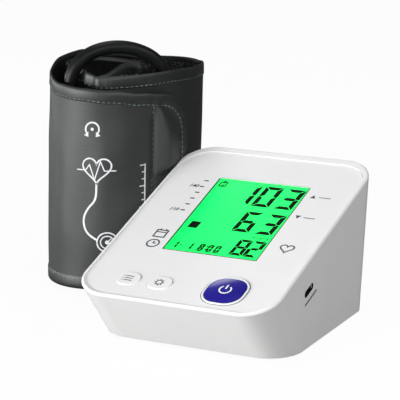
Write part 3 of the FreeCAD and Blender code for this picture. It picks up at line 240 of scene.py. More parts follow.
def run_tree(piece: Object, tree: NodeTree, values: dict) -> Object:
    """Runs a geometry group on a piece.

    Args:
        piece: The object that feeds the group.
        tree: The geometry group.
        values: The group's inputs by name.

    Returns:
        The result as a plain mesh object.
    """
    modifier = piece.modifiers.new("made", "NODES")
    modifier.node_group = tree
    for socket in tree.interface.items_tree:
        if socket.in_out == "INPUT" and socket.name in values:
            modifier[socket.identifier] = values[socket.name]
    return bake_modifiers(piece)


# ---------------------------------------------------------------- shared shader effects

class Effect(Enum):
    """Shader groups that several finishes share, each built once."""

    MOTTLE = "mottle"
    GRAIN = "grain"
    WEAVE = "weave"
    RIBS = "ribs"

    def place(self, sketch: NodeSketch, **inputs: object) -> bpy.types.bpy_prop_collection:
        """Places the group in a material and gives its outputs."""
        tree = bpy.data.node_groups.get(self.value) or getattr(self, self.value)()
        return sketch.add("ShaderNodeGroup", inputs, node_tree=tree).outputs

    @staticmethod
    def mottle() -> NodeTree:
        """Builds soft patches of two colours, as uneven dye, dust or moulding give; on the sewing thread and
        the loop pile the light patches are painted highlights.
        """
        sketch, given = new_group("mottle", SHADER, "Place Patch Light Dark", "Colour")
        noise = sketch.noise(given["Place"], sketch.maths("DIVIDE", 1.0, given["Patch"]), 4.0, Roughness=0.6)
        mask = sketch.first("ShaderNodeMapRange", {"Value": noise, "From Min": 0.3, "From Max": 0.7})
        blend = sketch.add("ShaderNodeMix", {0: mask, 6: given["Dark"], 7: given["Light"]}, data_type="RGBA")
        sketch.add("NodeGroupOutput", {"Colour": blend.outputs[2]})
        return sketch.tree

    @staticmethod
    def grain() -> NodeTree:
        """Builds fine pebbled grain, as on moulded plastic and rubber."""
        sketch, given = new_group("grain", SHADER, "Lay Pitch", "Height Mask")
        density = sketch.maths("DIVIDE", 1.0, given["Pitch"])
        pebbles = sketch.add("ShaderNodeTexVoronoi", {"Vector": given["Lay"], "Scale": density})
        swell = sketch.noise(given["Lay"], sketch.maths("MULTIPLY", density, 0.31), 2.0)
        height = sketch.maths("ADD", pebbles.outputs["Distance"], swell)
        sketch.add("NodeGroupOutput", {"Height": height, "Mask": swell})
        return sketch.tree

    @staticmethod
    def weave() -> NodeTree:
        """Builds a plain weave with drawn threads over flat coordinates in metres."""
        sketch, given = new_group("weave", SHADER, "Lay Pitch", "Height Mask")
        lay = given["Lay"]
        axes = sketch.add("ShaderNodeSeparateXYZ", {0: lay}).outputs
        waves = [sketch.wave(axes[k], given["Pitch"], TURN / 2) for k in (0, 1)]
        height = sketch.maths("MULTIPLY_ADD", sketch.maths("MULTIPLY", *waves), 0.5, 0.5)
        uneven = sketch.noise(lay, 900.0, 3.0)
        drawn = sketch.first("ShaderNodeVectorMath", {0: lay, 1: (60.0, 1500.0, 1.0)}, operation="MULTIPLY")
        streak = sketch.noise(drawn, 1.0, 3.0)
        rough = sketch.maths("ADD", height, uneven)
        worn = sketch.maths("MULTIPLY", height, uneven)
        sketch.add("NodeGroupOutput", {"Height": sketch.maths("MULTIPLY_ADD", streak, 2.5, rough),
                                       "Mask": sketch.maths("MULTIPLY_ADD", streak, 1.6, worn)})
        return sketch.tree

    @staticmethod
    def ribs() -> NodeTree:
        """Builds fine ribs across one flat coordinate, as on woven tape."""
        sketch, given = new_group("ribs", SHADER, "Lay Pitch", "Height Mask")
        axes = sketch.add("ShaderNodeSeparateXYZ", {0: given["Lay"]}).outputs
        height = sketch.maths("MULTIPLY_ADD", sketch.wave(axes[0], given["Pitch"], TURN), 0.5, 0.5)
        mask = sketch.maths("MULTIPLY", height, sketch.noise(given["Lay"], 1300.0, 2.0))
        sketch.add("NodeGroupOutput", {"Height": height, "Mask": mask})
        return sketch.tree


# ---------------------------------------------------------------- finishes

@dataclass(frozen=True)
class Finish:
    """One surface finish: two close colours as displayed, a gloss that varies and a small relief."""

    name: str
    light: Colour
    dark: Colour
    roughness: float
    gloss_drift: float = 0.08
    patch: float = 0.02
    relief: Effect = Effect.GRAIN
    pitch: float = 4e-4
    depth: float = 1e-5
    metallic: float = 0.0
    specular: float = 0.5
    coat: float = 0.0
    sheen: float = 0.0
    clear: float = 0.0
    glow: float = 0.0
    refraction: float = 1.49

    def material(self) -> bpy.types.Material:
        """Gives the material, built the first time."""
        return bpy.data.materials.get(self.name) or self.build()

    def build(self) -> bpy.types.Material:
        """Builds the material.

        Returns:
            The node material.
        """
        material = bpy.data.materials.new(self.name)
        material.use_nodes = True
        sketch = NodeSketch(material.node_tree)
        coordinates = sketch.add("ShaderNodeTexCoord").outputs
        lay = coordinates["Object" if self.relief is Effect.GRAIN else "UV"]
        colour = Effect.MOTTLE.place(sketch, Place=coordinates["Object"], Patch=self.patch,
                                     Light=(*srgb(self.light), 1.0), Dark=(*srgb(self.dark), 1.0))["Colour"]
        relief = self.relief.place(sketch, Lay=lay, Pitch=self.pitch)
        inputs = {
            "Base Color": colour, "Metallic": self.metallic, "Specular IOR Level": self.specular,
            "Coat Weight": self.coat, "Coat Roughness": 0.12, "Sheen Weight": self.sheen,
            "Sheen Roughness": 0.45, "Transmission Weight": self.clear, "IOR": self.refraction,
            "Emission Strength": self.glow,
            "Roughness": sketch.maths("MULTIPLY_ADD", relief["Mask"], self.gloss_drift,
                                      self.roughness - self.gloss_drift / 2)}
        if not self.clear:
            inputs["Normal"] = sketch.first("ShaderNodeBump", {
                "Strength": 1.0, "Distance": self.depth, "Height": relief["Height"]})
        if self.glow:
            path = sketch.add("ShaderNodeLightPath").outputs
            bounced = sketch.maths("ADD", path["Diffuse Depth"], path["Glossy Depth"])
            inputs["Emission Color"] = colour
            inputs["Emission Strength"] = sketch.maths(
                "MULTIPLY", sketch.maths("LESS_THAN", bounced, 0.5), self.glow)
        sketch.add("ShaderNodeOutputMaterial", {0: sketch.first("ShaderNodeBsdfPrincipled", inputs)})
        return material


class Slot(Enum):
    """The record's material slots."""

    CASE = "case_white"
    FACE = "face_white"
    WINDOW = "window_clear"
    GLASS = "lcd_glass"
    BACKLIGHT = "backlight_green"
    GREY = "grey_plastic"
    BLUE = "button_blue"
    BUTTON = "button_white"
    RING = "ring_white"
    BOARD = "board_green"
    CHIP = "chip_black"
    STEEL = "steel"
    CHROME = "chrome"
    CELL = "cell_sleeve"
    MOTOR = "motor_steel"
    RUBBER = "grey_rubber"
    TUBE = "clear_tube"
    HOSE = "hose_black"
    NYLON = "cuff_nylon"
    LINING = "cuff_lining"
    TAPE = "edge_tape"
    PILE = "hook_loop"
    BLADDER = "bladder_grey"
    PLUG = "plug_black"


FINISHES: dict[Slot, Finish] = {
    Slot.CASE: Finish("case_white_gloss", (244, 244, 243), (240, 240, 240), 0.34, 0.05, 0.05,
                      pitch=5e-4, depth=4e-6, coat=0.12),
    Slot.FACE: Finish("face_satin", (239, 239, 240), (236, 236, 237), 0.42, 0.05, 0.04, depth=4e-6),
    Slot.WINDOW: Finish("window_acrylic", (252, 255, 253), (248, 254, 250), 0.03, 0.01, 0.05,
                        clear=1.0, refraction=1.1),
    Slot.GLASS: Finish("display_lit", (4, 196, 79), (3, 191, 73), 0.3, 0.02, 0.03,
                       pitch=3e-4, depth=1e-6, specular=0.1, glow=1.62),
    Slot.BACKLIGHT: Finish("backlight_sheet", (60, 240, 130), (50, 225, 120), 0.5, glow=0.3),
    Slot.GREY: Finish("inner_nylon", (168, 171, 174), (150, 153, 157), 0.5, 0.1, 0.01),
    Slot.BLUE: Finish("start_blue", (38, 30, 148), (30, 24, 136), 0.16, 0.04, 0.01,
                      pitch=6e-4, depth=2e-6, specular=0.2, coat=0.2),
    Slot.BUTTON: Finish("button_satin", (241, 241, 242), (237, 237, 238), 0.38, 0.05, depth=4e-6),
    Slot.RING: Finish("ring_gloss", (248, 248, 248), (244, 244, 245), 0.2, 0.04,
                      pitch=5e-4, depth=2e-6, coat=0.4),
    Slot.BOARD: Finish("board_lacquer", (30, 104, 56), (18, 78, 42), 0.35, 0.1, 0.004),
    Slot.CHIP: Finish("chip_resin", (42, 42, 46), (28, 28, 32), 0.55, 0.1, 0.002),
    Slot.STEEL: Finish("spring_steel", (196, 198, 202), (168, 170, 176), 0.3, 0.1, 0.004,
                       metallic=1.0, depth=3e-6),
    Slot.CHROME: Finish("plated_steel", (214, 216, 220), (190, 193, 198), 0.18, 0.06, 0.004,
                        metallic=1.0, depth=2e-6),
    Slot.CELL: Finish("cell_wrap", (70, 92, 124), (54, 74, 104), 0.3, 0.06, 0.01),
    Slot.MOTOR: Finish("motor_can_steel", (176, 178, 182), (146, 148, 154), 0.36, 0.12, 0.006,
                       metallic=1.0, depth=4e-6),
    Slot.RUBBER: Finish("foot_rubber", (126, 128, 130), (104, 106, 110), 0.75, 0.1, 0.003,
                        pitch=6e-4, depth=2e-5),
    Slot.TUBE: Finish("silicone_tube", (236, 238, 236), (222, 226, 224), 0.3, 0.05, 0.01),
    Slot.HOSE: Finish("hose_rubber", (20, 21, 22), (14, 15, 16), 0.42, 0.12, 0.009,
                      pitch=7e-4, depth=1.6e-5, specular=0.2),
    Slot.NYLON: Finish("coated_nylon", (25, 29, 29), (19, 22, 22), 0.50, 0.10, 0.03,
                       Effect.WEAVE, pitch=4.2e-4, depth=1.8e-5, specular=0.8),
    Slot.LINING: Finish("knit_lining", (26, 27, 28), (14, 15, 16), 0.9, 0.1, 0.006,
                        Effect.WEAVE, pitch=7e-4, depth=5e-5, specular=0.1),
    Slot.TAPE: Finish("edge_tape_weave", (28, 32, 32), (20, 23, 23), 0.50, 0.12, 0.005,
                      Effect.RIBS, pitch=7e-4, depth=3e-5, specular=0.7),
    # painted light: the near-white patches stand in for light on the crumpled pile, which lies in the roll's
    # shade
    Slot.PILE: Finish("loop_pile", (222, 224, 224), (60, 62, 62), 0.8, 0.1, 0.004,
                      pitch=3e-4, depth=4e-5, specular=0.2, sheen=0.2),
    Slot.BLADDER: Finish("bladder_film", (120, 122, 124), (104, 106, 110), 0.4, 0.1, 0.01),
    Slot.PLUG: Finish("plug_moulding", (36, 37, 39), (26, 27, 29), 0.38, 0.08, 0.004, depth=8e-6),
}
LCD_INK = Finish("display_segment", (5, 16, 9), (3, 11, 6), 0.5, specular=0.05)
# painted shade: dark green for the shade along the sunken display window's edge
WINDOW_SHADE_INK = Finish("display_edge_shade", (20, 76, 44), (14, 64, 36), 0.5, specular=0.1)
SCALE_INK = Finish("scale_ink", (24, 24, 26), (18, 18, 20), 0.5, specular=0.1)
SOFT_INK = Finish("sign_ink", (84, 86, 90), (74, 76, 80), 0.5, specular=0.1)
RING_INK = Finish("ring_outline", (122, 124, 136), (112, 114, 126), 0.5, specular=0.1)
BUTTON_INK = Finish("button_sign_white", (244, 244, 248), (236, 236, 242), 0.4)
# painted shade: grey for the shade in the notch, near-black for the shade on the walls of the slot's opening
NOTCH_SHADE_INK = Finish("notch_painted_shade", (104, 105, 110), (96, 97, 102), 0.6, specular=0.2)
SLOT_SHADE_INK = Finish("slot_painted_shade", (14, 14, 15), (9, 9, 10), 0.6, specular=0.1)
CUFF_INK = Finish("cuff_print_white", (236, 238, 240), (196, 200, 202), 0.6, patch=0.0016, depth=3e-5)
# painted glints: the light patches stand in for glints on lit stitches; the dark grey is the thread's own
# colour
THREAD = Finish("sewing_thread", (182, 186, 184), (70, 74, 74), 0.42, patch=0.010, depth=0.0)


def put(piece: Object, slot: Slot, body: str, finish: Finish | None = None) -> Object:
    """Dresses a piece and joins it to a body.

    Args:
        piece: The piece.
        slot: Its record slot.
        body: The body that it rides on.
        finish: Its finish, where it isn't the slot's own.

    Returns:
        The piece.
    """
    piece.data.materials.clear()
    piece.data.materials.append((finish or FINISHES[slot]).material())
    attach(piece, body)
    LOG.info("piece %s made", piece.name)
    return piece


def dress_frame() -> None:
    """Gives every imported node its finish, by the slot that its own material names."""
    for name, node in frame["nodes"].items():
        for holder in node.material_slots:
            holder.material = FINISHES[Slot(holder.material.name.split(".")[0])].material()
        LOG.info("node %s dressed", name)


# ---------------------------------------------------------------- printed shapes

def circle(centre: Point2, radius: float, start: float = 0.0, stop: float = 360.0,
           sides: int = 28) -> list[Point2]:
    """Points along a circle or an arc.

    Args:
        centre: Its middle.
        radius: Its radius.
        start: First angle in degrees.
        stop: Last angle in degrees.
        sides: How many runs make it.

    Returns:
        The points, both ends among them.
    """
    angles = [math.radians(start + (stop - start) * i / sides) for i in range(sides + 1)]
    return [(centre[0] + radius * math.cos(a), centre[1] + radius * math.sin(a)) for a in angles]


def heart(middle: Point2, size: float, sides: int = 36) -> list[Point2]:
    """Points along a heart outline.

    Args:
        middle: Its middle.
        size: Half its width.
        sides: How many runs make it.

    Returns:
        The points, without the last.
    """
    out = []
    for i in range(sides):
        a = TURN * i / sides
        y = (13 * math.cos(a) - 5 * math.cos(2 * a) - 2 * math.cos(3 * a) - math.cos(4 * a)) / 16
        out.append((middle[0] + size * math.sin(a) ** 3, middle[1] + size * (y + 0.1)))
    return out


def resample(path: Sequence[Point2], step: float, closed: bool) -> np.ndarray:
    """Divides a line's runs so that none is longer than a step.

    Args:
        path: The line's points.
        step: The longest run.
        closed: Whether the last point joins the first.

    Returns:
        The points.
    """
    points = [*path, path[0]] if closed else list(path)
    out: list[Point2] = []
    for (x0, y0), (x1, y1) in zip(points, points[1:]):
        runs = max(1, math.ceil(math.hypot(x1 - x0, y1 - y0) / step))
        out += [(x0 + (x1 - x0) * i / runs, y0 + (y1 - y0) * i / runs) for i in range(runs)]
    return np.array(out if closed else [*out, points[-1]], float)


def soften(path: Sequence[Point2], rounds: int) -> list[Point2]:
    """Cuts a line's corners until it bends smoothly.

    Args:
        path: The line's points.
        rounds: How often each corner is cut.

    Returns:
        The smooth line, with the same two ends.
    """
    points = np.array(path, float)
    for _ in range(rounds):
        near = 0.75 * points[:-1] + 0.25 * points[1:]
        far = 0.25 * points[:-1] + 0.75 * points[1:]
        cut = np.stack([near, far], axis=1).reshape(-1, 2)
        points = np.concatenate([points[:1], cut[1:-1], points[-1:]])
    return [tuple(point) for point in points]


@dataclass
class Drawing:
    """Thin printed shapes, drawn flat in metres and then laid on a surface."""

    thickness: float = FILM
    step: float = 0.0012
    points: list[Point2] = field(default_factory=list)
    levels: list[int] = field(default_factory=list)
    faces: list[tuple[int, ...]] = field(default_factory=list)

    def _add(self, flat: Iterable[Point2]) -> tuple[list[int], list[int]]:
        """Adds points at the underside and at the top, and gives their numbers."""
        flat = list(flat)
        first, count = len(self.points), len(flat)
        self.points += flat + flat
        self.levels += [0] * count + [1] * count
        return list(range(first, first + count)), list(range(first + count, first + 2 * count))

    def polygon(self, flat: Iterable[Point2]) -> None:
        """Adds a filled shape, by its corners in order."""
        under, over = self._add(flat)
        self.faces += [tuple(over), tuple(reversed(under))]
        for i in range(len(under)):
            k = (i + 1) % len(under)
            self.faces.append((under[i], under[k], over[k], over[i]))

    def disc(self, centre: Point2, radius: float, sides: int = 20) -> None:
        """Adds a filled circle."""
        self.polygon(circle(centre, radius, sides=sides)[:-1])

    def stroke(self, path: Sequence[Point2], width: float, closed: bool = False) -> None:
        """Adds a line of even width with mitred corners.

        Args:
            path: The line's points.
            width: The line's width.
            closed: Whether it ends where it starts.
        """
        line = resample(path, self.step, closed)
        ahead = np.roll(line, -1, axis=0) - line
        behind = line - np.roll(line, 1, axis=0)
        if not closed:
            ahead[-1] = behind[-1]
            behind[0] = ahead[0]
        ahead /= np.linalg.norm(ahead, axis=1)[:, None]
        behind /= np.linalg.norm(behind, axis=1)[:, None]
        sides = np.stack([-(ahead + behind)[:, 1], (ahead + behind)[:, 0]], axis=1)
        sides /= np.linalg.norm(sides, axis=1)[:, None]
        lean = np.clip(np.abs(sides[:, 0] * -ahead[:, 1] + sides[:, 1] * ahead[:, 0]), 0.5, 1.0)
        sides *= (width / 2 / lean)[:, None]
        left_under, left_over = self._add(map(tuple, line + sides))
        right_under, right_over = self._add(map(tuple, line - sides))
        around = (right_over, left_over, left_under, right_under)
        count = len(line)
        for i in range(count if closed else count - 1):
            k = (i + 1) % count
            for one, other in zip(around, around[1:] + around[:1]):
                self.faces.append((one[i], one[k], other[k], other[i]))
        if not closed:
            self.faces.append(tuple(row[0] for row in around))
            self.faces.append(tuple(row[-1] for row in reversed(around)))

    def piece(self, name: str, lay_on: Callable[[np.ndarray, np.ndarray], np.ndarray]) -> Object:
        """Makes the mesh object.

        Args:
            name: The piece's name.
            lay_on: Turns flat points and heights above the surface into row frame points.

        Returns:
            The object.
        """
        heights = np.array(self.levels, float) * self.thickness
        return mesh_object(name, lay_on(np.array(self.points, float), heights), self.faces, crease=30.0)


# ---------------------------------------------------------------- studio

@dataclass(frozen=True)
class Lamp:
    """A rectangular soft light."""

    name: str
    place: Colour
    aim: Colour
    size: Point2
    watts: float


@dataclass
class Studio:
    """Camera, floor, sky and soft lamps."""

    eye: Colour = (0.490752, -0.914303, 0.333160)
    right: Colour = (0.88754953, 0.46050929, -0.01367583)
    up: Colour = (-0.10596547, 0.23293784, 0.96670124)
    lens: float = 175.79
    floor_size: float = 8.0
    sky: float = 0.14
    floor_white: float = 0.95
    floor_bounce: float = 0.20
    lamps: tuple[Lamp, ...] = (
        Lamp("key_light", (-0.74, -1.11, 0.10), (-0.03, 0.00, 0.05), (1.2, 0.18), 21.0),
        Lamp("side_light", (-1.25, 0.05, 0.10), (-0.06, 0.05, 0.06), (0.5, 0.18), 3.6),
        Lamp("front_light", (0.75, -1.05, 0.50), (0.05, -0.06, 0.03), (0.6, 0.4), 5.0),
        Lamp("right_fill", (0.98, -0.20, 0.80), (0.06, -0.03, 0.03), (0.5, 0.4), 4.0),
        Lamp("top_light", (-0.12, 0.05, 1.36), (0.02, -0.02, 0.05), (0.7, 0.7), 4.35),
        Lamp("gleam_light", (-0.60, 0.83, 0.85), (0.03, -0.06, 0.05), (0.34, 0.2), 0.9),
    )

    def make_camera(self) -> None:
        """Places the camera and makes it the scene's own."""
        camera = new_object("camera", bpy.data.cameras.new("camera"))
        right, up = Vector(self.right).normalized(), Vector(self.up).normalized()
        axes = Matrix((right, up, right.cross(up))).transposed()
        camera.matrix_world = Matrix.Translation(self.eye) @ axes.to_4x4()
        camera.data.sensor_width = 36.0
        camera.data.lens = self.lens
        camera.data.clip_start, camera.data.clip_end = 0.01, 50.0
        bpy.context.scene.camera = camera
        LOG.info("camera placed")

    def make_lamps(self) -> None:
        """Makes the soft lamps."""
        for lamp in self.lamps:
            light = bpy.data.lights.new(lamp.name, "AREA")
            light.shape = "RECTANGLE"
            light.size, light.size_y = lamp.size
            light.energy = lamp.watts
            look = Vector(lamp.aim) - Vector(lamp.place)
            turn = look.to_track_quat("-Z", "Y").to_matrix().to_4x4()
            new_object(lamp.name, light).matrix_world = Matrix.Translation(lamp.place) @ turn
            LOG.info("lamp %s placed", lamp.name)

    def make_sky(self) -> None:
        """Makes an even sky that shows white behind the set and in its reflections."""
        world = bpy.data.worlds.new("sky")
        bpy.context.scene.world = world
        world.use_nodes = True
        sketch = NodeSketch(world.node_tree)
        level = sketch.maths("MULTIPLY_ADD", sketch.seen(), 1.0 - self.sky, self.sky)
        sky = sketch.first("ShaderNodeBackground", {"Color": (1, 1, 1, 1), "Strength": level})
        sketch.add("ShaderNodeOutputWorld", {0: sky})

    def make_floor(self) -> None:
        """Makes the pale floor, white to the camera but for the set's own shadow."""
        half = self.floor_size / 2
        corners = [(-half, -half, 0), (half, -half, 0), (half, half, 0), (-half, half, 0)]
        floor = mesh_object("floor", np.array(corners, float), [(0, 1, 2, 3)], recalculate=False)
        material = bpy.data.materials.new("floor_pale")
        material.use_nodes = True
        sketch = NodeSketch(material.node_tree)
        seen = sketch.seen()
        pale = sketch.maths("MULTIPLY_ADD", seen, 1.0 - self.floor_bounce, self.floor_bounce)
        colour = sketch.first("ShaderNodeCombineColor", {0: pale, 1: pale, 2: pale})
        blend = sketch.first("ShaderNodeMixShader", {
            0: sketch.maths("MULTIPLY", seen, self.floor_white),
            1: sketch.first("ShaderNodeBsdfDiffuse", {"Color": colour}),
            2: sketch.first("ShaderNodeEmission", {"Color": (1, 1, 1, 1), "Strength": 1.0})})
        sketch.add("ShaderNodeOutputMaterial", {0: blend})
        floor.data.materials.append(material)
        LOG.info("floor made")

    def make(self) -> None:
        """Makes the whole studio but the camera."""
        bpy.context.scene.view_settings.view_transform = "Standard"
        self.make_sky()
        self.make_floor()
        self.make_lamps()


# ---------------------------------------------------------------- sloping top

@dataclass(frozen=True)
class Panel:
    """The sloping top, measured from the middle of the display, across it and up the slope."""

    centre: Vector
    across: Vector
    along: Vector
    out: Vector
    display: Point2

    @classmethod
    def from_frame(cls) -> "Panel":
        """Reads the slope from the start button's joint and the middle from the display window.

        Returns:
            The panel.
        """
        press = next(joint for joint in frame["joints"] if joint["name"] == "start_button_press")
        out = -Vector(press["axis"]).normalized()
        across = Vector((1, 0, 0))
        along = out.cross(across)
        low_x, high_x = cls.span("display_window", across)
        low_s, high_s = cls.span("display_window", along)
        level = cls.span("face_panel", out)[1]
        centre = across * ((low_x + high_x) / 2) + along * ((low_s + high_s) / 2) + out * level
        return cls(centre, across, along, out, (high_x - low_x, high_s - low_s))

    @staticmethod
    def span(node: str, axis: Vector) -> Point2:
        """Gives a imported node's lowest and highest reach along an axis."""
        reach = [vertex.co.dot(axis) for vertex in frame["nodes"][node].data.vertices]
        return min(reach), max(reach)

    def level(self, node: str) -> float:
        """Gives how high a node's top stands over the face, or a negative depth."""
        return self.span(node, self.out)[1] - self.centre.dot(self.out)

    def middle(self, node: str) -> Point2:
        """Gives a node's middle, across and up the slope from the display's middle."""
        return tuple(sum(self.span(node, axis)) / 2 - self.centre.dot(axis)
                     for axis in (self.across, self.along))

    def lay(self, base: float) -> Callable:
        """Gives the function that lays flat drawings on the slope.

        Args:
            base: Height of the surface over the face.

        Returns:
            A function of flat points and heights that gives row frame points.
        """
        axes = np.array([self.across, self.along, self.out])

        def place(flat: np.ndarray, heights: np.ndarray) -> np.ndarray:
            """Turns flat points into row frame points."""
            return np.array(self.centre) + np.column_stack([flat, heights + base]) @ axes
        return place

    def stand(self, piece: Object, place: Point2, lift: float) -> Object:
        """Moves a piece's mesh from the origin to a place on the slope, and gives the piece."""
        spot = self.lay(lift)(np.array([place]), np.zeros(1))[0]
        axes = Matrix((self.across, self.along, self.out)).transposed().to_4x4()
        piece.data.transform(Matrix.Translation(spot) @ axes)
        return piece


class Segment(Enum):
    """The seven bars of a display digit."""

    TOP = "a"
    UPPER_RIGHT = "b"
    LOWER_RIGHT = "c"
    BOTTOM = "d"
    LOWER_LEFT = "e"
    UPPER_LEFT = "f"
    MIDDLE = "g"


LIT = {"0": "abcdef", "1": "bc", "2": "abged", "3": "abgcd", "6": "afgedc", "8": "abcdefg", "-": "g"}


@dataclass
class Display:
    """Lit display: three large readings, the clock row, the level mark and a small sign."""

    panel: Panel
    slant: float = 0.065
    gap: float = 0.107
    small_bar: float = 0.0014
    # width of the painted shade line along the window's edge
    outline: float = 0.0006
    readings: tuple = (
        ("103", (0.295, 0.531, 0.774), 0.198, 0.684, 0.961, 0.0028),
        ("63", (0.530, 0.777), 0.189, 0.337, 0.607, 0.0028),
        ("82", (0.679, 0.827), 0.141, 0.043, 0.248, 0.0022),
    )
    clock: tuple = (("1", 0.046), ("-", 0.105), ("1", 0.207), ("8", 0.330), ("0", 0.424), ("0", 0.505))
    clock_width: float = 0.058
    clock_rows: Point2 = (0.038, 0.132)
    colon: float = 0.405
    colon_size: Point2 = (0.017, 0.014)
    colon_rows: Point2 = (0.062, 0.098)
    marker: tuple[float, float, float, float] = (0.056, 0.160, 0.314, 0.400)
    bars: range = range(5)
    first_bar: float = 0.792
    bar_pitch: float = 0.036
    bar_width: float = 0.024
    bar_rows: Point2 = (0.281, 0.292)
    overlap: float = 0.0002
    sign_place: Point2 = (0.070, 0.925)
    sign_half: Point2 = (0.0019, 0.0022)
    sign_line: float = 0.0008

    def spot(self, across: float, up: float) -> Point2:
        """Turns shares of the display into metres from its middle."""
        width, length = self.panel.display
        return (across - 0.5) * width, (up - 0.5) * length

    def digit(self, ink: Drawing, character: str, left: float, rows: Point2, width: float,
              bar: float) -> None:
        """Draws one digit, placed by shares of the display.

        Args:
            ink: The drawing to add to.
            character: A digit or a dash.
            left: Its left side.
            rows: Its lower and upper end.
            width: Its width.
            bar: Thickness of a bar in metres.
        """
        corner = self.spot(left, rows[0])
        w, h = width * self.panel.display[0], (rows[1] - rows[0]) * self.panel.display[1]
        m, t, g = h / 2, bar, self.gap * bar
        top = ((g, h), (w - g, h), (w - t - g, h - t), (t + g, h - t))
        right = ((w, h - g), (w, m + g), (w - t / 2, m + g / 2), (w - t, m + t / 2), (w - t, h - t - g))
        middle = ((t / 2 + g, m), (t + g, m + t / 2), (w - t - g, m + t / 2), (w - t / 2 - g, m),
                  (w - t - g, m - t / 2), (t + g, m - t / 2))
        shapes = {
            Segment.TOP: (top, False, False), Segment.BOTTOM: (top, False, True),
            Segment.UPPER_RIGHT: (right, False, False), Segment.LOWER_RIGHT: (right, False, True),
            Segment.UPPER_LEFT: (right, True, False), Segment.LOWER_LEFT: (right, True, True),
            Segment.MIDDLE: (middle, False, False)}
        for mark in LIT[character]:
            shape, across, over = shapes[Segment(mark)]
            flat = [(w - x if across else x, h - y if over else y) for x, y in shape]
            ink.polygon([(corner[0] + x + self.slant * (y - m), corner[1] + y) for x, y in flat])

    def box(self, ink: Drawing, left: float, right: float, low: float, high: float) -> None:
        """Draws a slanted block between four shares of the display."""
        (x0, y0), (x1, y1) = self.spot(left, low), self.spot(right, high)
        lean = self.slant * (y1 - y0) / 2
        ink.polygon([(x0 - lean, y0), (x1 - lean, y0), (x1 + lean, y1), (x0 + lean, y1)])

    def make(self) -> None:
        """Draws everything that the display shows."""
        ink = Drawing()
        for text, places, width, low, high, bar in self.readings:
            for character, left in zip(text, places):
                self.digit(ink, character, left, (low, high), width, bar)
        for character, left in self.clock:
            self.digit(ink, character, left, self.clock_rows, self.clock_width, self.small_bar)
        width, height = self.colon_size
        for level in self.colon_rows:
            self.box(ink, self.colon, self.colon + width, level, level + height)
        self.box(ink, *self.marker)
        self.sign(ink)
        for k in self.bars:
            left = self.first_bar + self.bar_pitch * k
            self.box(ink, left, left + self.bar_width, *self.bar_rows)
        level = self.panel.level("lcd_glass") + 2 * GAP
        put(ink.piece("display_readings", self.panel.lay(level)), Slot.GLASS, "monitor", LCD_INK)
        self.window_edge_shade()

    def window_edge_shade(self) -> None:
        """Draws painted shade: a thin dark green line along three sides of the window, where its sunken edge
        falls in shade.
        """
        ink = Drawing()
        width, length = (side / 2 + self.overlap for side in self.panel.display)
        top = length - 2 * self.outline
        ink.stroke([(-width, top), (-width, -length), (width, -length), (width, top)], self.outline)
        put(ink.piece("display_edge_shade", self.panel.lay(GAP)), Slot.FACE, "monitor", WINDOW_SHADE_INK)

    def sign(self, ink: Drawing) -> None:
        """Draws a small battery sign in the top left corner."""
        x, y = self.spot(*self.sign_place)
        (half_w, half_h), line = self.sign_half, self.sign_line
        ink.stroke([(x - half_w, y - half_h), (x + half_w, y - half_h), (x + half_w, y + half_h),
                    (x - half_w, y + half_h)], line, closed=True)
        ink.stroke([(x, y + half_h + 0.0004), (x, y + half_h + 0.0011)], 0.0015)
        for k in (-1, 0, 1):
            ink.stroke([(x - half_w / 2, y + k * 0.0013), (x + half_w / 2, y + k * 0.0013)], line * 0.8)


# ---------------------------------------------------------------- marks on the face and buttons

def tick_tree() -> NodeTree:
    """Builds the geometry group that lays a row of scale ticks."""
    sketch, given = new_group("scale_ticks", GEOMETRY, "Geometry Count Pitch Length Width Material",
                              "Geometry")
    step = sketch.first("ShaderNodeCombineXYZ", {"Y": given["Pitch"]})
    row = sketch.first("GeometryNodeMeshLine", {"Count": given["Count"], "Offset": step})
    size = sketch.first("ShaderNodeCombineXYZ", {"X": given["Length"], "Y": given["Width"], "Z": 5 * GAP})
    tick = sketch.first("GeometryNodeMeshCube", {"Size": size})
    return sketch.scatter({"Points": row}, tick, given["Material"])


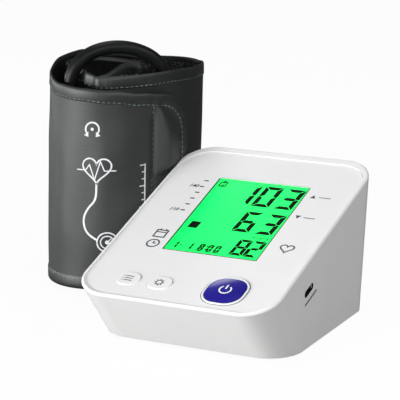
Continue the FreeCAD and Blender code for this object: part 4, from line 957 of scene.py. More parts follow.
@dataclass
class FaceMarks:
    """Scale beside the display, small signs beside its readings and signs on the buttons."""

    panel: Panel
    scale_place: Point2 = (-0.0337, 0.0008)
    scale_pitch: float = 0.00604
    scale_count: int = 6
    tick: Point2 = (0.0026, 0.0009)
    number_height: float = 0.0026
    numbers: tuple = (("110", (-0.0392, 0.0008)), ("140", (-0.0388, 0.0250)))
    number_share: float = 0.7       # of a font's size
    number_shear: float = 0.25
    number_bold: float = 7 * GAP
    sign_line: float = 0.00055
    button_line: float = 0.00085
    limits: tuple = ((0.0325, 0.0272, 1), (0.0320, 0.0070, -1))
    pulse: Point2 = (0.0385, -0.0225)
    pulse_size: float = 0.0038
    clock: Point2 = (-0.0350, -0.0325)
    clock_radius: float = 0.0034
    sheet: Point2 = (-0.0350, -0.0232)
    sheet_half: float = 0.0032
    ring_corner: float = 0.0096
    ring_gap: float = 0.0003
    fine_step: float = 0.0006

    def scale(self) -> None:
        """Makes the row of ticks and its two numbers."""
        seed = mesh_object("scale_ticks", np.zeros((1, 3)), [])
        ticks = run_tree(seed, tick_tree(), {
            "Count": self.scale_count, "Pitch": self.scale_pitch, "Length": self.tick[0],
            "Width": self.tick[1], "Material": SCALE_INK.material()})
        put(self.panel.stand(ticks, self.scale_place, 3 * GAP), Slot.FACE, "monitor", SCALE_INK)
        for text, middle in self.numbers:
            curve = bpy.data.curves.new(f"scale_number_{text}", "FONT")
            curve.body = text
            curve.align_x, curve.align_y = "CENTER", "CENTER"
            curve.size = self.number_height / self.number_share
            curve.shear = self.number_shear
            curve.offset = self.number_bold
            curve.extrude = 3 * GAP
            curve.resolution_u = 3
            number = bake_modifiers(new_object(curve.name, curve))
            put(self.panel.stand(number, middle, 4 * GAP), Slot.FACE, "monitor", SCALE_INK)

    def signs(self) -> None:
        """Draws the signs for the upper, lower, pulse and clock readings."""
        ink = Drawing(thickness=5 * GAP)
        line = self.sign_line
        rise = [(-0.0016, -0.0014), (0.0016, -0.0014), (0.0, 0.0016)]
        for x, s, turn in self.limits:
            ink.polygon([(x + px, s + turn * py) for px, py in rise][::turn])
            ink.stroke([(x + 0.0034, s), (x + 0.0100, s)], line)
        ink.stroke(heart(self.pulse, self.pulse_size), line * 1.5, closed=True)
        x, s = self.clock
        ink.stroke(circle(self.clock, self.clock_radius)[:-1], line * 1.6, closed=True)
        ink.stroke([(x, s + 0.0021), (x, s), (x + 0.0016, s)], line * 1.3)
        self.calendar(ink)
        put(ink.piece("face_signs", self.panel.lay(GAP)), Slot.FACE, "monitor", SOFT_INK)

    def calendar(self, ink: Drawing) -> None:
        """Draws a small calendar sheet."""
        (x, s), half = self.sheet, self.sheet_half
        corners = [(x - half, s - half), (x + half, s - half), (x + half, s + half), (x - half, s + half)]
        ink.stroke(corners, self.sign_line * 1.6, closed=True)
        ink.stroke([(x - half, s + half * 0.4), (x + half, s + half * 0.4)], self.sign_line * 1.3)
        for peg in (x - half * 0.5, x + half * 0.5):
            ink.stroke([(peg, s + half), (peg, s + half * 1.4)], self.sign_line * 1.6)

    def ring_line(self) -> None:
        """Draws the thin line on the face round the bright ring."""
        middle = self.panel.middle("start_button")
        low, high = self.panel.span("start_ring", self.panel.across)
        reach = (high - low) / 2 + self.ring_gap - self.ring_corner
        path: list[Point2] = []
        for k, (a, b) in enumerate(((1, 1), (-1, 1), (-1, -1), (1, -1))):
            centre = (middle[0] + a * reach, middle[1] + b * reach)
            path += circle(centre, self.ring_corner, 90 * k, 90 * k + 90, sides=10)
        ink = Drawing()
        ink.stroke(path, self.sign_line * 0.8, closed=True)
        put(ink.piece("ring_outline", self.panel.lay(GAP)), Slot.FACE, "monitor", RING_INK)

    def on_button(self, node: str) -> Callable:
        """Gives the function that lays a drawing on a button's crowned top.

        Args:
            node: The button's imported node.

        Returns:
            The laying function, which reads the button's own mesh.
        """
        button = frame["nodes"][node].data
        triangles = [list(face.vertices) for face in button.polygons]
        search = BVHTree.FromPolygons([vertex.co for vertex in button.vertices], triangles)
        start = self.panel.lay(self.panel.level(node) + 2 * MM)

        def place(flat: np.ndarray, heights: np.ndarray) -> np.ndarray:
            """Drops each point on the button's top."""
            out = []
            for point, height in zip(start(flat, np.zeros(len(flat))), heights):
                hit = search.ray_cast(Vector(point), -self.panel.out)[0] or Vector(point)
                out.append(hit + self.panel.out * (height + 1.5 * GAP))
            return np.array(out)
        return place

    def start_button(self, ink: Drawing, x: float, s: float) -> None:
        """Draws the on and off sign."""
        ink.stroke(circle((x, s), 0.0031, 128, 412), self.button_line)
        ink.stroke([(x, s + 0.0006), (x, s + 0.0041)], self.button_line)

    def memory_button(self, ink: Drawing, x: float, s: float) -> None:
        """Draws three list lines."""
        for k in (-1, 0, 1):
            ink.disc((x - 0.0028, s + k * 0.0018), 0.00035, sides=10)
            ink.stroke([(x - 0.0018, s + k * 0.0018), (x + 0.0028, s + k * 0.0018)], self.sign_line)

    def set_button(self, ink: Drawing, x: float, s: float) -> None:
        """Draws a toothed wheel."""
        ink.stroke(circle((x, s), 0.0017)[:-1], self.sign_line, closed=True)
        for k in range(8):
            a = TURN * k / 8
            ray = [(x + r * math.cos(a), s + r * math.sin(a)) for r in (0.0019, 0.0027)]
            ink.stroke(ray, self.sign_line * 1.2)

    def button_sign(self, draw: Callable, slot: Slot, finish: Finish) -> None:
        """Lays one button's sign on its top.

        Args:
            draw: The method that draws it, which has the button's own name.
            slot: The button's record slot.
            finish: The sign's finish.
        """
        node, ink = draw.__name__, Drawing(step=self.fine_step)
        draw(ink, *self.panel.middle(node))
        put(ink.piece(node.replace("button", "sign"), self.on_button(node)), slot, node, finish)

    def make(self) -> None:
        """Makes all the marks."""
        self.scale()
        self.signs()
        self.button_sign(self.start_button, Slot.BLUE, BUTTON_INK)
        self.ring_line()
        self.button_sign(self.memory_button, Slot.BUTTON, SOFT_INK)
        self.button_sign(self.set_button, Slot.BUTTON, SOFT_INK)


@dataclass
class SideWallShade:
    """Painted shade on the right side wall: a near-black band on the walls of the charging slot's opening,
    and a grey strip in the notch under it.
    """

    panel: Panel
    opening: Point2 = (0.0111, 0.0036)
    slot_shade_width: float = 0.0003
    slot_shade_reach: float = 0.00082
    strip_place: Point2 = (0.0009, -0.0053)
    strip: Point2 = (0.0152, 0.0013)
    strip_reach: Point2 = (-0.0003, 0.00068)

    @staticmethod
    def stadium(centre: Point2, length: float, height: float) -> list[Point2]:
        """Gives the outline of a slot with round ends."""
        half = (length - height) / 2
        right = circle((centre[0] + half, centre[1]), height / 2, -90, 90, sides=12)
        return right + circle((centre[0] - half, centre[1]), height / 2, 90, 270, sides=12)

    def lay(self, low: float) -> Callable:
        """Gives the function that lays flat drawings on the right side wall.

        Args:
            low: Distance from the socket's mouth to the drawing's underside, outwards.

        Returns:
            A function of flat points, up the slope and towards the face, and heights.
        """
        axes = (self.panel.along, self.panel.out, self.panel.across)
        reach = [self.panel.span("usb_socket", axis) for axis in axes]
        start = np.array([sum(reach[0]) / 2, sum(reach[1]) / 2, reach[2][1] + low])

        def place(flat: np.ndarray, heights: np.ndarray) -> np.ndarray:
            """Turns flat points into row frame points."""
            return (np.column_stack([flat, heights]) + start) @ np.array(axes)
        return place

    def make(self) -> None:
        """Makes the slot's painted shade band and the notch's painted shade strip."""
        length, height = (size - self.slot_shade_width for size in self.opening)
        lining = Drawing(thickness=self.slot_shade_reach, step=0.0006)
        lining.stroke(self.stadium((0.0, 0.0), length, height), self.slot_shade_width, closed=True)
        low, high = self.strip_reach
        strip = Drawing(thickness=high - low)
        strip.polygon(self.stadium(self.strip_place, *self.strip))
        # both are painted shade: dark sheets laid where the wall falls in shade
        put(lining.piece("slot_painted_shade", self.lay(2 * GAP)), Slot.PLUG, "monitor", SLOT_SHADE_INK)
        put(strip.piece("notch_painted_shade", self.lay(low)), Slot.PLUG, "monitor", NOTCH_SHADE_INK)


# ---------------------------------------------------------------- air hose

@dataclass
class AirHose:
    """Rubber hose from the port inside the roll, over the rim, round the hollow and into its plug."""

    radius: float = 0.00335
    length: float = 0.496
    arch: range = range(2, 14)
    stretched: float = 1.13
    route: tuple = (
        (-0.0710, 0.0010, 0.0380), (-0.0710, 0.0010, 0.0580), (-0.0712, 0.0008, 0.0820),
        (-0.0706, 0.0012, 0.1040), (-0.0695, 0.0009, 0.1185), (-0.0664, 0.0021, 0.1282),
        (-0.0609, 0.0058, 0.1344), (-0.0540, 0.0112, 0.1377), (-0.0463, 0.0175, 0.1383),
        (-0.0388, 0.0238, 0.1362), (-0.0319, 0.0296, 0.1316), (-0.0269, 0.0340, 0.1236),
        (-0.0259, 0.0355, 0.1100), (-0.0279, 0.0357, 0.0900), (-0.0303, 0.0365, 0.0660),
        (-0.0315, 0.0393, 0.0450), (-0.0325, 0.0425, 0.0233), (-0.0395, 0.0447, 0.0107),
        (-0.0515, 0.0484, 0.0036), (-0.0655, 0.0527, 0.0034), (-0.0775, 0.0564, 0.0107),
        (-0.0845, 0.0585, 0.0233), (-0.0853, 0.0583, 0.0440), (-0.0851, 0.0581, 0.0660),
        (-0.0845, 0.0585, 0.0864), (-0.0785, 0.0606, 0.0975), (-0.0680, 0.0644, 0.1039),
        (-0.0560, 0.0687, 0.1039), (-0.0455, 0.0724, 0.0975), (-0.0395, 0.0745, 0.0864),
        (-0.0389, 0.0750, 0.0680), (-0.0393, 0.0745, 0.0510), (-0.0391, 0.0747, 0.0350),
    )

    def make(self) -> None:
        """Makes the hose as one smooth spline."""
        curve = bpy.data.curves.new("air_hose", "CURVE")
        curve.dimensions = "3D"
        spline = curve.splines.new("NURBS")
        spline.points.add(len(self.route) - 1)
        for index, (point, place) in enumerate(zip(spline.points, self.route)):
            point.co = (*place, 1.0)
            point.radius = self.stretched if index in self.arch else 1.0
        spline.order_u = 3
        spline.use_endpoint_u = True
        curve.resolution_u = 10
        curve.bevel_depth = self.radius
        curve.bevel_resolution = 7
        curve.use_fill_caps = True
        hose = put(new_object("air_hose", curve), Slot.HOSE, "cuff")
        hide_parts("hose")
        self.length


# ---------------------------------------------------------------- rolled cuff

@dataclass(frozen=True)
class BandPath:
    """Outer face of the rolled band seen from above, from the tail's end inwards."""

    start: Point2 = (-0.015560, 0.048985)
    heading: float = -89.0
    turns: tuple[Point2, ...] = (
        (0.069, 44.5), (0.035, 46.5), (0.032, 59.5), (0.072, 50.0), (0.0405, 74.5),
        (0.0315, 62.0), (0.062, 23.5), (0.060, 52.0), (0.0175, 37.5), (0.012, 40.0),
        (0.0, 0.031), (0.011, 128.0), (0.090, 22.0), (0.0044, 168.0), (-0.024, 62.0), (0.0, 0.006),
    )

    @staticmethod
    def run(radius: float, amount: float) -> float:
        """Gives the length of one arc, or of one straight step."""
        return abs(radius) * math.radians(amount) if radius else amount

    @property
    def length(self) -> float:
        """The band's whole length."""
        return sum(self.run(radius, amount) for radius, amount in self.turns)

    def at(self, along: np.ndarray) -> tuple[np.ndarray, np.ndarray]:
        """Finds places on the path.

        Args:
            along: Distances from the tail's end.

        Returns:
            The points, and the inward directions.
        """
        points, inward = np.zeros((2, *along.shape, 2))
        here, way, done = np.array(self.start), math.radians(self.heading), 0.0
        for index, (radius, amount) in enumerate(self.turns):
            run = self.run(radius, amount)
            chosen = along >= done if index else np.ones(along.shape, bool)
            local = along[chosen] - done
            side = np.array([math.sin(way), -math.cos(way)])
            if radius:
                turned = way - local / radius
                sides = np.stack([np.sin(turned), -np.cos(turned)], axis=-1)
                points[chosen] = here + radius * side - radius * sides
                inward[chosen] = sides
                way -= run / radius
                here = here + radius * side - radius * np.array([math.sin(way), -math.cos(way)])
            else:
                ahead = np.array([math.cos(way), math.sin(way)])
                points[chosen] = here + local[..., None] * ahead
                inward[chosen] = side
                here = here + run * ahead
            done += run
        return points, inward


@dataclass(frozen=True)
class Fold:
    """A soft ridge, or a groove where its height is negative, that runs up the cloth."""

    along: float
    width: float
    height: float
    low: float
    high: float
    drift: float = 0.0
    fade: float = 0.02

    def lift(self, along: np.ndarray, z: np.ndarray) -> np.ndarray:
        """Gives how far the fold lifts the cloth at each place."""
        beyond = along - self.along - self.drift * (z - (self.low + self.high) / 2)
        return self.height * np.exp(-(beyond / self.width) ** 2) * window(z, self.low, self.high, self.fade)


@dataclass(frozen=True)
class Pillow:
    """A stuffed ridge that rises from a seam and rolls off towards the tail's end."""

    seam: float
    reach: float
    height: float
    low: float
    high: float
    fade: float
    taper: float
    lee: float
    least: float = 0.05

    def lift(self, along: np.ndarray, z: np.ndarray) -> np.ndarray:
        """Gives how far the ridge lifts the cloth; it is narrower where it is lower."""
        growth = smooth_step((z - self.low) / self.fade) * smooth_step((self.high - z) / self.taper)
        size = np.maximum(np.sqrt(growth), self.least)
        place = (self.seam - along) / (self.reach * size)
        rise = place * (7 - np.clip(place, 0, 1) ** 6) / 6
        fall = smooth_step(1 - (place - 1) / self.lee)
        return self.height * (size - self.least) * np.where(place < 1, np.maximum(rise, 0), fall)


@dataclass
class CuffShape:
    """Where every point of the rolled band lies, with its soft folds."""

    path: BandPath = field(default_factory=BandPath)
    thickness: float = 0.003
    fabric: float = 0.0008
    start: float = 0.0105
    corner: float = 0.024
    end_corner: float = 0.004
    lean: float = 0.005
    lean_way: Point2 = (0.8875, 0.4605)
    middle: float = 0.062
    edge_share: float = 0.3
    edge_reach: float = 0.014
    column_step: float = 0.0015
    tight_fold: Point2 = (0.405, 0.470)
    top: tuple[Point2, ...] = (
        (0.0, 0.1105), (0.024, 0.1115), (0.045, 0.1145), (0.062, 0.117), (0.080, 0.1185), (0.095, 0.1195),
        (0.118, 0.1235), (0.142, 0.1264), (0.164, 0.1267), (0.190, 0.1222), (0.215, 0.1188),
        (0.250, 0.1195), (0.262, 0.1207), (0.282, 0.1221), (0.312, 0.1240), (0.356, 0.1240),
        (0.3665, 0.1262), (0.380, 0.1250), (0.400, 0.1252), (0.430, 0.1260), (0.450, 0.1254),
        (0.460, 0.1234), (0.467, 0.1260), (0.474, 0.1253), (0.487, 0.1190), (0.5, 0.1060),
    )
    bottom: tuple[Point2, ...] = ((0.0, 0.0045), (0.150, 0.0030), (0.240, 0.0020), (0.345, 0.0010),
                                  (0.380, 0.0004), (0.5, 0.0004))
    folds: tuple[Fold | Pillow, ...] = (
        Pillow(0.0366, 0.0070, 0.0056, 0.066, 0.110, 0.008, 0.026, 2.2),
        Fold(0.0374, 0.0014, -0.0010, 0.010, 0.107, fade=0.008),
        Fold(0.0580, 0.0135, 0.0021, 0.006, 0.106, 0.03, 0.03),
        Fold(0.0740, 0.0060, -0.0004, 0.030, 0.102, -0.04, 0.03),
        Fold(0.0905, 0.0050, 0.0004, 0.010, 0.102, 0.03, 0.03),
        Fold(0.1040, 0.0035, -0.0004, 0.005, 0.104, 0.02, 0.03),
        Fold(0.1300, 0.0080, 0.0006, 0.020, 0.110, 0.05),
        Fold(0.1620, 0.0060, -0.0005, 0.010, 0.110, -0.04),
        Fold(0.1950, 0.0090, 0.0006, 0.020, 0.115, 0.04),
        Fold(0.2300, 0.0060, -0.0005, 0.010, 0.115, 0.02),
        Fold(0.3540, 0.0018, 0.0007, 0.085, 0.132, 0.05, 0.012),
        Fold(0.3592, 0.0014, -0.0008, 0.080, 0.132, -0.04, 0.012),
        Fold(0.3640, 0.0016, 0.0010, 0.090, 0.134, -0.06, 0.012),
    )

    @property
    def end(self) -> float:
        """The band's far end, along the band."""
        return self.path.length

    def rim(self, along: np.ndarray, marks: tuple[Point2, ...]) -> np.ndarray:
        """Gives the height of the top or bottom edge, without its end corners.

        Args:
            along: Distances along the band.
            marks: Distances and heights between which the edge runs softly.

        Returns:
            The heights.
        """
        places, heights = np.array(marks).T
        step = np.clip(np.searchsorted(places, along, side="right") - 1, 0, len(places) - 2)
        share = (along - places[step]) / (places[step + 1] - places[step])
        return heights[step] + (heights[step + 1] - heights[step]) * smooth_step(share)

    def edges(self, along: np.ndarray, margin: float) -> tuple[np.ndarray, np.ndarray]:
        """Gives the cloth's lowest and highest place, corners and margin taken off.

        Args:
            along: Distances along the band.
            margin: How far the cloth stops short of the edge.

        Returns:
            Lower and upper heights.
        """
        low, high = self.rim(along, self.bottom), self.rim(along, self.top)
        for radius, inside in ((self.corner, along - self.start), (self.end_corner, self.end - along)):
            near = np.clip(radius - inside, 0.0, radius)
            drop = radius - np.sqrt(radius ** 2 - near ** 2)
            low, high = low + drop, high - drop
        return low + margin, high - margin

    def relief(self, along: np.ndarray, z: np.ndarray) -> np.ndarray:
        """Gives how far folds and ripples push the cloth outwards."""
        lift = sum(fold.lift(along, z) for fold in self.folds)
        slow = np.sin(TURN * (along / 0.053 + z / 0.16) + 1.3) * np.sin(TURN * z / 0.17 + 0.4)
        quick = np.sin(TURN * (along / 0.019 - z / 0.11) + 2.1) * np.sin(TURN * z / 0.061)
        calm = window(z, 0.004, 0.112, 0.03) * smooth_step((along - 0.014) / 0.012)
        belly = 0.0005 * window(along, 0.040, 0.232, 0.02) * window(z, 0.008, 0.112, 0.03)
        return lift + (0.00022 * slow + 0.00010 * quick) * calm + belly

    def slim(self, along: np.ndarray, z: np.ndarray) -> np.ndarray:
        """Gives the share of its thickness that the band keeps near its sewn edges."""
        inside = np.minimum.reduce([self.rim(along, self.top) - z, z - self.rim(along, self.bottom),
                                    along - self.start, self.end - along])
        return self.edge_share + (1 - self.edge_share) * smooth_step(inside / self.edge_reach)

    def point(self, along: np.ndarray, z: np.ndarray, depth: np.ndarray | float) -> np.ndarray:
        """Finds points of the band.

        Args:
            along: Distances from the tail's end.
            z: Heights over the table before the lean.
            depth: Distances in from the outer face.

        Returns:
            Points in the row frame.
        """
        along, z, depth = np.broadcast_arrays(along, z, depth)
        flat, inward = self.path.at(along)
        depth = np.where(depth > 0, depth * self.slim(along, z), depth)
        flat = flat + inward * (depth - self.relief(along, z))[..., None]
        shift = self.lean * (z - self.middle) / (2 * self.middle)
        return np.concatenate([flat + shift[..., None] * np.array(self.lean_way), z[..., None]], axis=-1)

    def columns(self, low: float, high: float) -> np.ndarray:
        """Spreads columns along the band, closer at its ends and in its tight fold.

        Args:
            low: First distance.
            high: Last distance.

        Returns:
            The distances.
        """
        spread = np.linspace(low, high, max(2, int((high - low) / self.column_step)))
        turns = np.linspace(0, math.pi / 2, 16)
        first = low + self.corner * (1 - np.cos(turns))
        last = high - self.end_corner * (1 - np.cos(turns))
        tight = np.arange(*self.tight_fold, self.column_step / 2)
        inside = tight[(tight > low) & (tight < high)]
        joined = np.unique(np.round(np.concatenate([spread, first, last, inside]), 5))
        return joined[(joined >= low) & (joined <= high)]


@dataclass
class Cuff:
    """The rolled cuff: two cloths, a bladder, edge tape, stitching, patches, pile and print."""

    shape: CuffShape = field(default_factory=CuffShape)
    rows: int = 58
    margin: float = 0.0012
    inset: float = 0.0008
    slack: float = 0.0001
    patch: float = 0.0007
    bladder: tuple[Point2, Point2] = ((0.038, 0.226), (0.0145, 0.1040))
    hooks: tuple[Point2, Point2] = ((0.019, 0.050), (0.0265, 0.0950))
    loops: tuple[Point2, Point2] = ((0.301, 0.342), (0.012, 0.099))
    pile: tuple[Point2, Point2] = ((0.196, 0.276), (0.086, 0.1172))
    pile_grid: tuple[int, int] = (40, 14)
    cut_width: float = 0.122
    tape_width: float = 0.0070
    inner_width: float = 0.0022
    tape: float = 0.00035
    pitch: float = 0.0029
    stitch_length: float = 0.0019
    thread: float = 0.00034
    stitch_inset: float = 0.0060
    seam_at: float = 0.0374
    seam_rows: Point2 = (0.014, 0.1062)
    line: float = 0.0008
    print_middle: Point2 = (0.0625, 0.0620)

    def slab(self, name: str, depth: Point2, span: Point2, limits: Point2 | None = None) -> Object:
        """Makes one closed layer of the band.

        Args:
            name: The piece's name.
            depth: Depths of its outer and inner face.
            span: Where it starts and ends along the band.
            limits: Heights of its own lower and upper edge, where it is narrower than the band.

        Returns:
            The layer.
        """
        along = self.shape.columns(*span)
        under, over = limits or self.shape.edges(along, self.margin)
        under, over = (np.broadcast_to(edge, along.shape)[:, None] for edge in (under, over))
        z = under + (over - under) * np.linspace(0, 1, self.rows)[None]
        spread = np.repeat(along[:, None], self.rows, axis=1)
        vertices = np.concatenate([self.shape.point(spread, z, level).reshape(-1, 3) for level in depth])
        lay = np.tile(np.stack([spread, z], axis=-1).reshape(-1, 2), (2, 1))
        number = np.arange(z.size).reshape(z.shape)
        sheet = grid_faces(number)
        ring = np.array([*number[:, 0], *number[-1, 1:], *number[-2::-1, -1], *number[0, -2:0:-1]])
        after = np.roll(ring, -1)
        border = np.stack([ring, ring + z.size, after + z.size, after], axis=-1)
        return mesh_object(name, vertices, [*sheet, *(sheet[:, ::-1] + z.size), *border], lay)

    def rim_walk(self, step: float) -> np.ndarray:
        """Walks round the band's whole edge.

        Args:
            step: Spacing.

        Returns:
            Rows of distance along, height, and the two parts of the way into the cloth.
        """
        shape, start, end = self.shape, self.shape.start, self.shape.end
        big, small = shape.corner, shape.end_corner
        near, far = start + big, end - small
        walks: list[np.ndarray] = []

        def spread(first: float, last: float) -> np.ndarray:
            """Gives a run's places without the last."""
            return np.linspace(first, last, int(abs(last - first) / step), endpoint=False)

        def along_edge(first: float, last: float, marks: tuple[Point2, ...], way: float) -> None:
            """Adds a run along the top or the bottom."""
            places = spread(first, last)
            flat = np.full(places.shape, way)
            walks.append(np.stack([places, shape.rim(places, marks), 0 * flat, flat], axis=1))

        def upright(place: float, first: float, last: float, way: float) -> None:
            """Adds a run up or down an end."""
            heights = spread(first, last)
            flat = np.full(heights.shape, place)
            walks.append(np.stack([flat, heights, np.full(flat.shape, way), 0 * flat], axis=1))

        def round_corner(centre: Point2, radius: float, first: float) -> None:
            """Adds a corner's quarter turn."""
            sides = max(6, int(radius * 1.57 / step))
            angles = np.radians(np.linspace(first, first + 90, sides, endpoint=False))
            cos, sin = np.cos(angles), np.sin(angles)
            walks.append(np.stack([centre[0] + radius * cos, centre[1] + radius * sin, -cos, -sin], axis=1))

        high, low, far_high, far_low = (float(shape.rim(place, marks)) for place in (near, far)
                                        for marks in (shape.top, shape.bottom))
        along_edge(far, near, shape.top, -1.0)
        round_corner((near, high - big), big, 90)
        upright(start, high - big, low + big, 1.0)
        round_corner((near, low + big), big, 180)
        along_edge(near, far, shape.bottom, 1.0)
        round_corner((far, far_low + small), small, 270)
        upright(end, far_low + small, far_high - small, -1.0)
        round_corner((far, far_high - small), small, 0)
        return np.concatenate(walks)

    def make_tape(self) -> Object:
        """Makes the woven tape that is folded over the whole edge.

        Returns:
            The tape.
        """
        walk = self.rim_walk(0.0009)
        inner, over, width, leg = self.shape.thickness, self.tape, self.tape_width, self.inner_width
        half = inner / 2 + over
        profile = [(width, -0.4 * over), (width - 0.0006, -over), (0.0022, -over)]
        profile += [(0.0010 - 0.0014 * math.cos(a), inner / 2 + half * math.sin(a))
                    for a in np.radians(np.linspace(-75, 75, 5))]
        profile += [(leg - 0.0004, inner + over), (leg, inner + 0.4 * over),
                    (leg, inner - 0.0002), (0.0014, inner - 0.0002), (0.0014, 0.0002), (width, 0.0002)]
        inset, depth = np.array(profile).T
        along = walk[:, :1] + walk[:, 2:3] * inset[None]
        z = walk[:, 1:2] + walk[:, 3:4] * inset[None]
        steps = np.linalg.norm(np.diff(walk[:, :2], axis=0), axis=1)
        travelled = np.concatenate([[0.0], np.cumsum(steps)])
        pucker = 0.00009 * np.sin(TURN * travelled / self.pitch)[:, None]
        pucker = pucker * np.exp(-((inset - self.stitch_inset) / 0.0016) ** 2)[None]
        outer = np.where(depth < inner / 2, 1.0, -1.0)[None]
        rings = self.shape.point(along, z, depth[None] + pucker * outer)
        number = np.arange(along.size).reshape(along.shape)
        faces = grid_faces(np.pad(number, ((0, 1), (0, 1)), mode="wrap"))[:, [0, 3, 2, 1]]
        lay = np.stack(np.broadcast_arrays(travelled[:, None], inset[None]), axis=-1).reshape(-1, 2)
        return mesh_object("cuff_edge_tape", rings.reshape(-1, 3), faces, lay, crease=60.0)

    def make_stitches(self) -> Object:
        """Sews the edge's row and the seam's row with one group of stitches.

        Returns:
            The stitches.
        """
        walk = self.rim_walk(0.0015)
        along, z = (walk[:, :2] + walk[:, 2:] * self.stitch_inset).T
        edge = self.shape.point(along, z, -(self.tape + 0.00003))
        seam = self.shape.point(self.seam_at, np.linspace(*self.seam_rows, 60), -0.00008)
        count, last = len(edge), len(edge) + len(seam) - 1
        pairs = [(i, i + 1) for i in range(last) if i != count - 1] + [(count - 1, 0)]
        mesh = bpy.data.meshes.new("cuff_stitches")
        mesh.from_pydata([*edge.tolist(), *seam.tolist()], pairs, [])
        return run_tree(new_object("cuff_stitches", mesh), stitch_tree(), {
            "Pitch": self.pitch, "Length": self.stitch_length, "Width": self.thread,
            "Material": THREAD.material()})

    def make_pile(self) -> Object:
        """Grows loop pile on the inside of the outer turn, where it faces the rolled end.

        Returns:
            The pile.
        """
        marks = (np.linspace(*ends, count) for ends, count in zip(self.pile, self.pile_grid))
        spread, heights = np.meshgrid(*marks, indexing="ij")
        points = self.shape.point(spread, heights, self.shape.thickness)
        faces = grid_faces(np.arange(spread.size).reshape(spread.shape))[:, [0, 3, 2, 1]]
        ground = mesh_object("cuff_loop_pile", points.reshape(-1, 3), faces, recalculate=False)
        return run_tree(ground, pile_tree(), {
            "Density": 4.2e6, "Length": 0.0013, "Radius": 0.00011, "Seed": 7,
            "Material": FINISHES[Slot.PILE].material()})

    def make_print(self) -> Object:
        """Draws the plain white signs on the outer turn.

        Returns:
            The print.
        """
        ink = Drawing(thickness=6 * GAP, step=0.0011)
        line = self.line
        ring = (-0.0104, 0.0342)
        ink.stroke(circle(ring, 0.0038, -38.0, 218.0), line * 1.2)
        for way in (1, -1):
            tip = (ring[0] + way * 0.0021, ring[1] - 0.0044)
            ink.polygon([tip, (tip[0] + way * 0.0026, tip[1] + 0.0009),
                         (tip[0] + way * 0.0001, tip[1] + 0.0030)][::way])
        ink.disc(ring, 0.0009)
        ink.stroke(heart((-0.0075, 0.0110), 0.0080, 48), line * 1.1, closed=True)
        trace = [(-0.0190, 0.0110), (-0.0138, 0.0110), (-0.0116, 0.0142), (-0.0086, 0.0056),
                 (-0.0054, 0.0164), (-0.0032, 0.0110), (0.0030, 0.0110)]
        ink.stroke(trace, line * 0.8)
        hose = [(-0.0075, 0.0030), (-0.0076, -0.0060), (-0.0124, -0.0110), (-0.0152, -0.0175),
                (-0.0132, -0.0252), (-0.0066, -0.0292)]
        ink.stroke(soften(hose, 3), line * 1.4)
        gauge = (-0.0012, -0.0302)
        for radius, width in ((0.0056, 1.0), (0.0036, 0.8)):
            ink.stroke(circle(gauge, radius)[:-1], line * width, closed=True)
        ink.disc(gauge, 0.0012)
        ink.stroke([gauge, (gauge[0] + 0.0022, gauge[1] + 0.0022)], line * 0.7)
        ink.stroke([(0.0200, -0.0120), (0.0200, 0.0130)], line)
        for k in range(7):
            reach, z = 0.0021 if k % 3 else 0.0034, -0.0115 + 0.0040 * k
            ink.stroke([(0.0200, z), (0.0200 - reach, z)], line * 0.75)
        x, z = self.print_middle
        return ink.piece("cuff_print", lambda flat, heights: self.shape.point(
            x - flat[:, 0], z + flat[:, 1], -(heights + 2 * GAP)))

    def make(self) -> None:
        shape = self.shape
        start, end, fabric, inner = shape.start, shape.end, shape.fabric, shape.thickness
        whole = (start + self.inset, end - self.inset)
        outer = self.slab("cuff_outer_cloth", (0.0, fabric), whole)
        lining = self.slab("cuff_inner_cloth", (inner - fabric, inner), whole)
        inside = (fabric + self.slack, inner - fabric - self.slack)
        bladder = self.slab("cuff_bladder", inside, *self.bladder)
        hooks = self.slab("cuff_hook_patch", (inner + 2 * GAP, inner + self.patch), *self.hooks)
        loops = self.slab("cuff_loop_patch", (-self.patch, -2 * GAP), *self.loops)
        tape, stitches = self.make_tape(), self.make_stitches()
        pile, ink = self.make_pile(), self.make_print()
        for piece, slot, finish, nodes in (
                (outer, Slot.NYLON, None, ("cuff_tail", "cuff_band")),
                (lining, Slot.LINING, None, ("tail_lining", "band_lining")),
                (bladder, Slot.BLADDER, None, ("air_bladder",)),
                (hooks, Slot.PILE, None, ("hook_patch",)),
                (loops, Slot.PILE, None, ("loop_patch",)),
                (tape, Slot.TAPE, None, ("tail_binding", "band_binding")),
                (stitches, Slot.TAPE, THREAD, ()),
                (pile, Slot.PILE, None, ()),
                (ink, Slot.NYLON, CUFF_INK, ())):
            put(piece, slot, "cuff", finish)
            if nodes:
                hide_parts(*nodes)


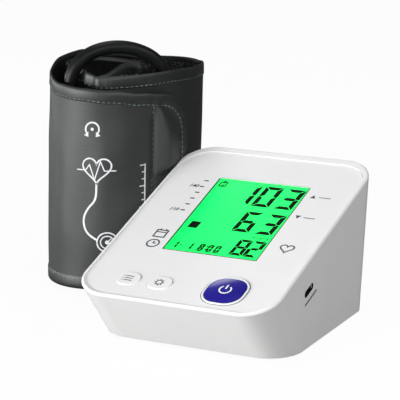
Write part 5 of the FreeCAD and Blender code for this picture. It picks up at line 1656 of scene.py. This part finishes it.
def stitch_tree() -> NodeTree:
    """Builds the geometry group that sews stitches along edges.

    Returns:
        The group, with named sizes.
    """
    sketch, given = new_group("stitch_rows", GEOMETRY, "Geometry Pitch Length Width Material", "Geometry")
    rows = sketch.first("GeometryNodeMeshToCurve", {0: given["Geometry"]})
    places = sketch.add("GeometryNodeCurveToPoints", {"Curve": rows, "Length": given["Pitch"]},
                        mode="LENGTH").outputs
    bead = sketch.first("GeometryNodeMeshUVSphere", {"Segments": 6, "Rings": 5, "Radius": 0.5})
    size = sketch.first("ShaderNodeCombineXYZ", {
        "X": given["Width"], "Y": given["Width"], "Z": given["Length"]})
    points = {"Points": places["Points"], "Rotation": places["Rotation"], "Scale": size}
    return sketch.scatter(points, bead, given["Material"], smooth=True)


def pile_tree() -> NodeTree:
    """Builds the geometry group that grows short leaning fibres on a surface.

    Returns:
        The group, with named sizes and a seed.
    """
    sketch, given = new_group("loop_pile_fibres", GEOMETRY, "Geometry Density Length Radius Seed Material",
                              "Geometry")
    spots = sketch.add("GeometryNodeDistributePointsOnFaces", {
        "Mesh": given["Geometry"], "Density": given["Density"], "Seed": given["Seed"]}).outputs
    fibre = sketch.first("GeometryNodeMeshCone", {
        "Vertices": 3, "Radius Top": 0.0, "Radius Bottom": given["Radius"], "Depth": given["Length"]})
    tilt = sketch.first("FunctionNodeRandomValue", {
        0: (-0.9, -0.9, -3.1), 1: (0.9, 0.9, 3.1), 8: given["Seed"]}, data_type="FLOAT_VECTOR")
    turn = sketch.first("FunctionNodeEulerToRotation", {0: tilt})
    lean = sketch.first("FunctionNodeRotateRotation", {"Rotation": spots["Rotation"], "Rotate By": turn},
                        rotation_space="LOCAL")
    return sketch.scatter({"Points": spots["Points"], "Rotation": lean}, fibre, given["Material"])


# ---------------------------------------------------------------- whole scene


def main() -> None:
    """Builds the scene in order."""
    logging.basicConfig(level=logging.INFO, format="%(message)s")
    studio = Studio()
    studio.make_camera()
    AirHose().make()
    dress_frame()
    panel = Panel.from_frame()
    for part in (Display(panel), FaceMarks(panel), SideWallShade(panel), Cuff()):
        part.make()
    studio.make()


if __name__ == "__main__":
    main()
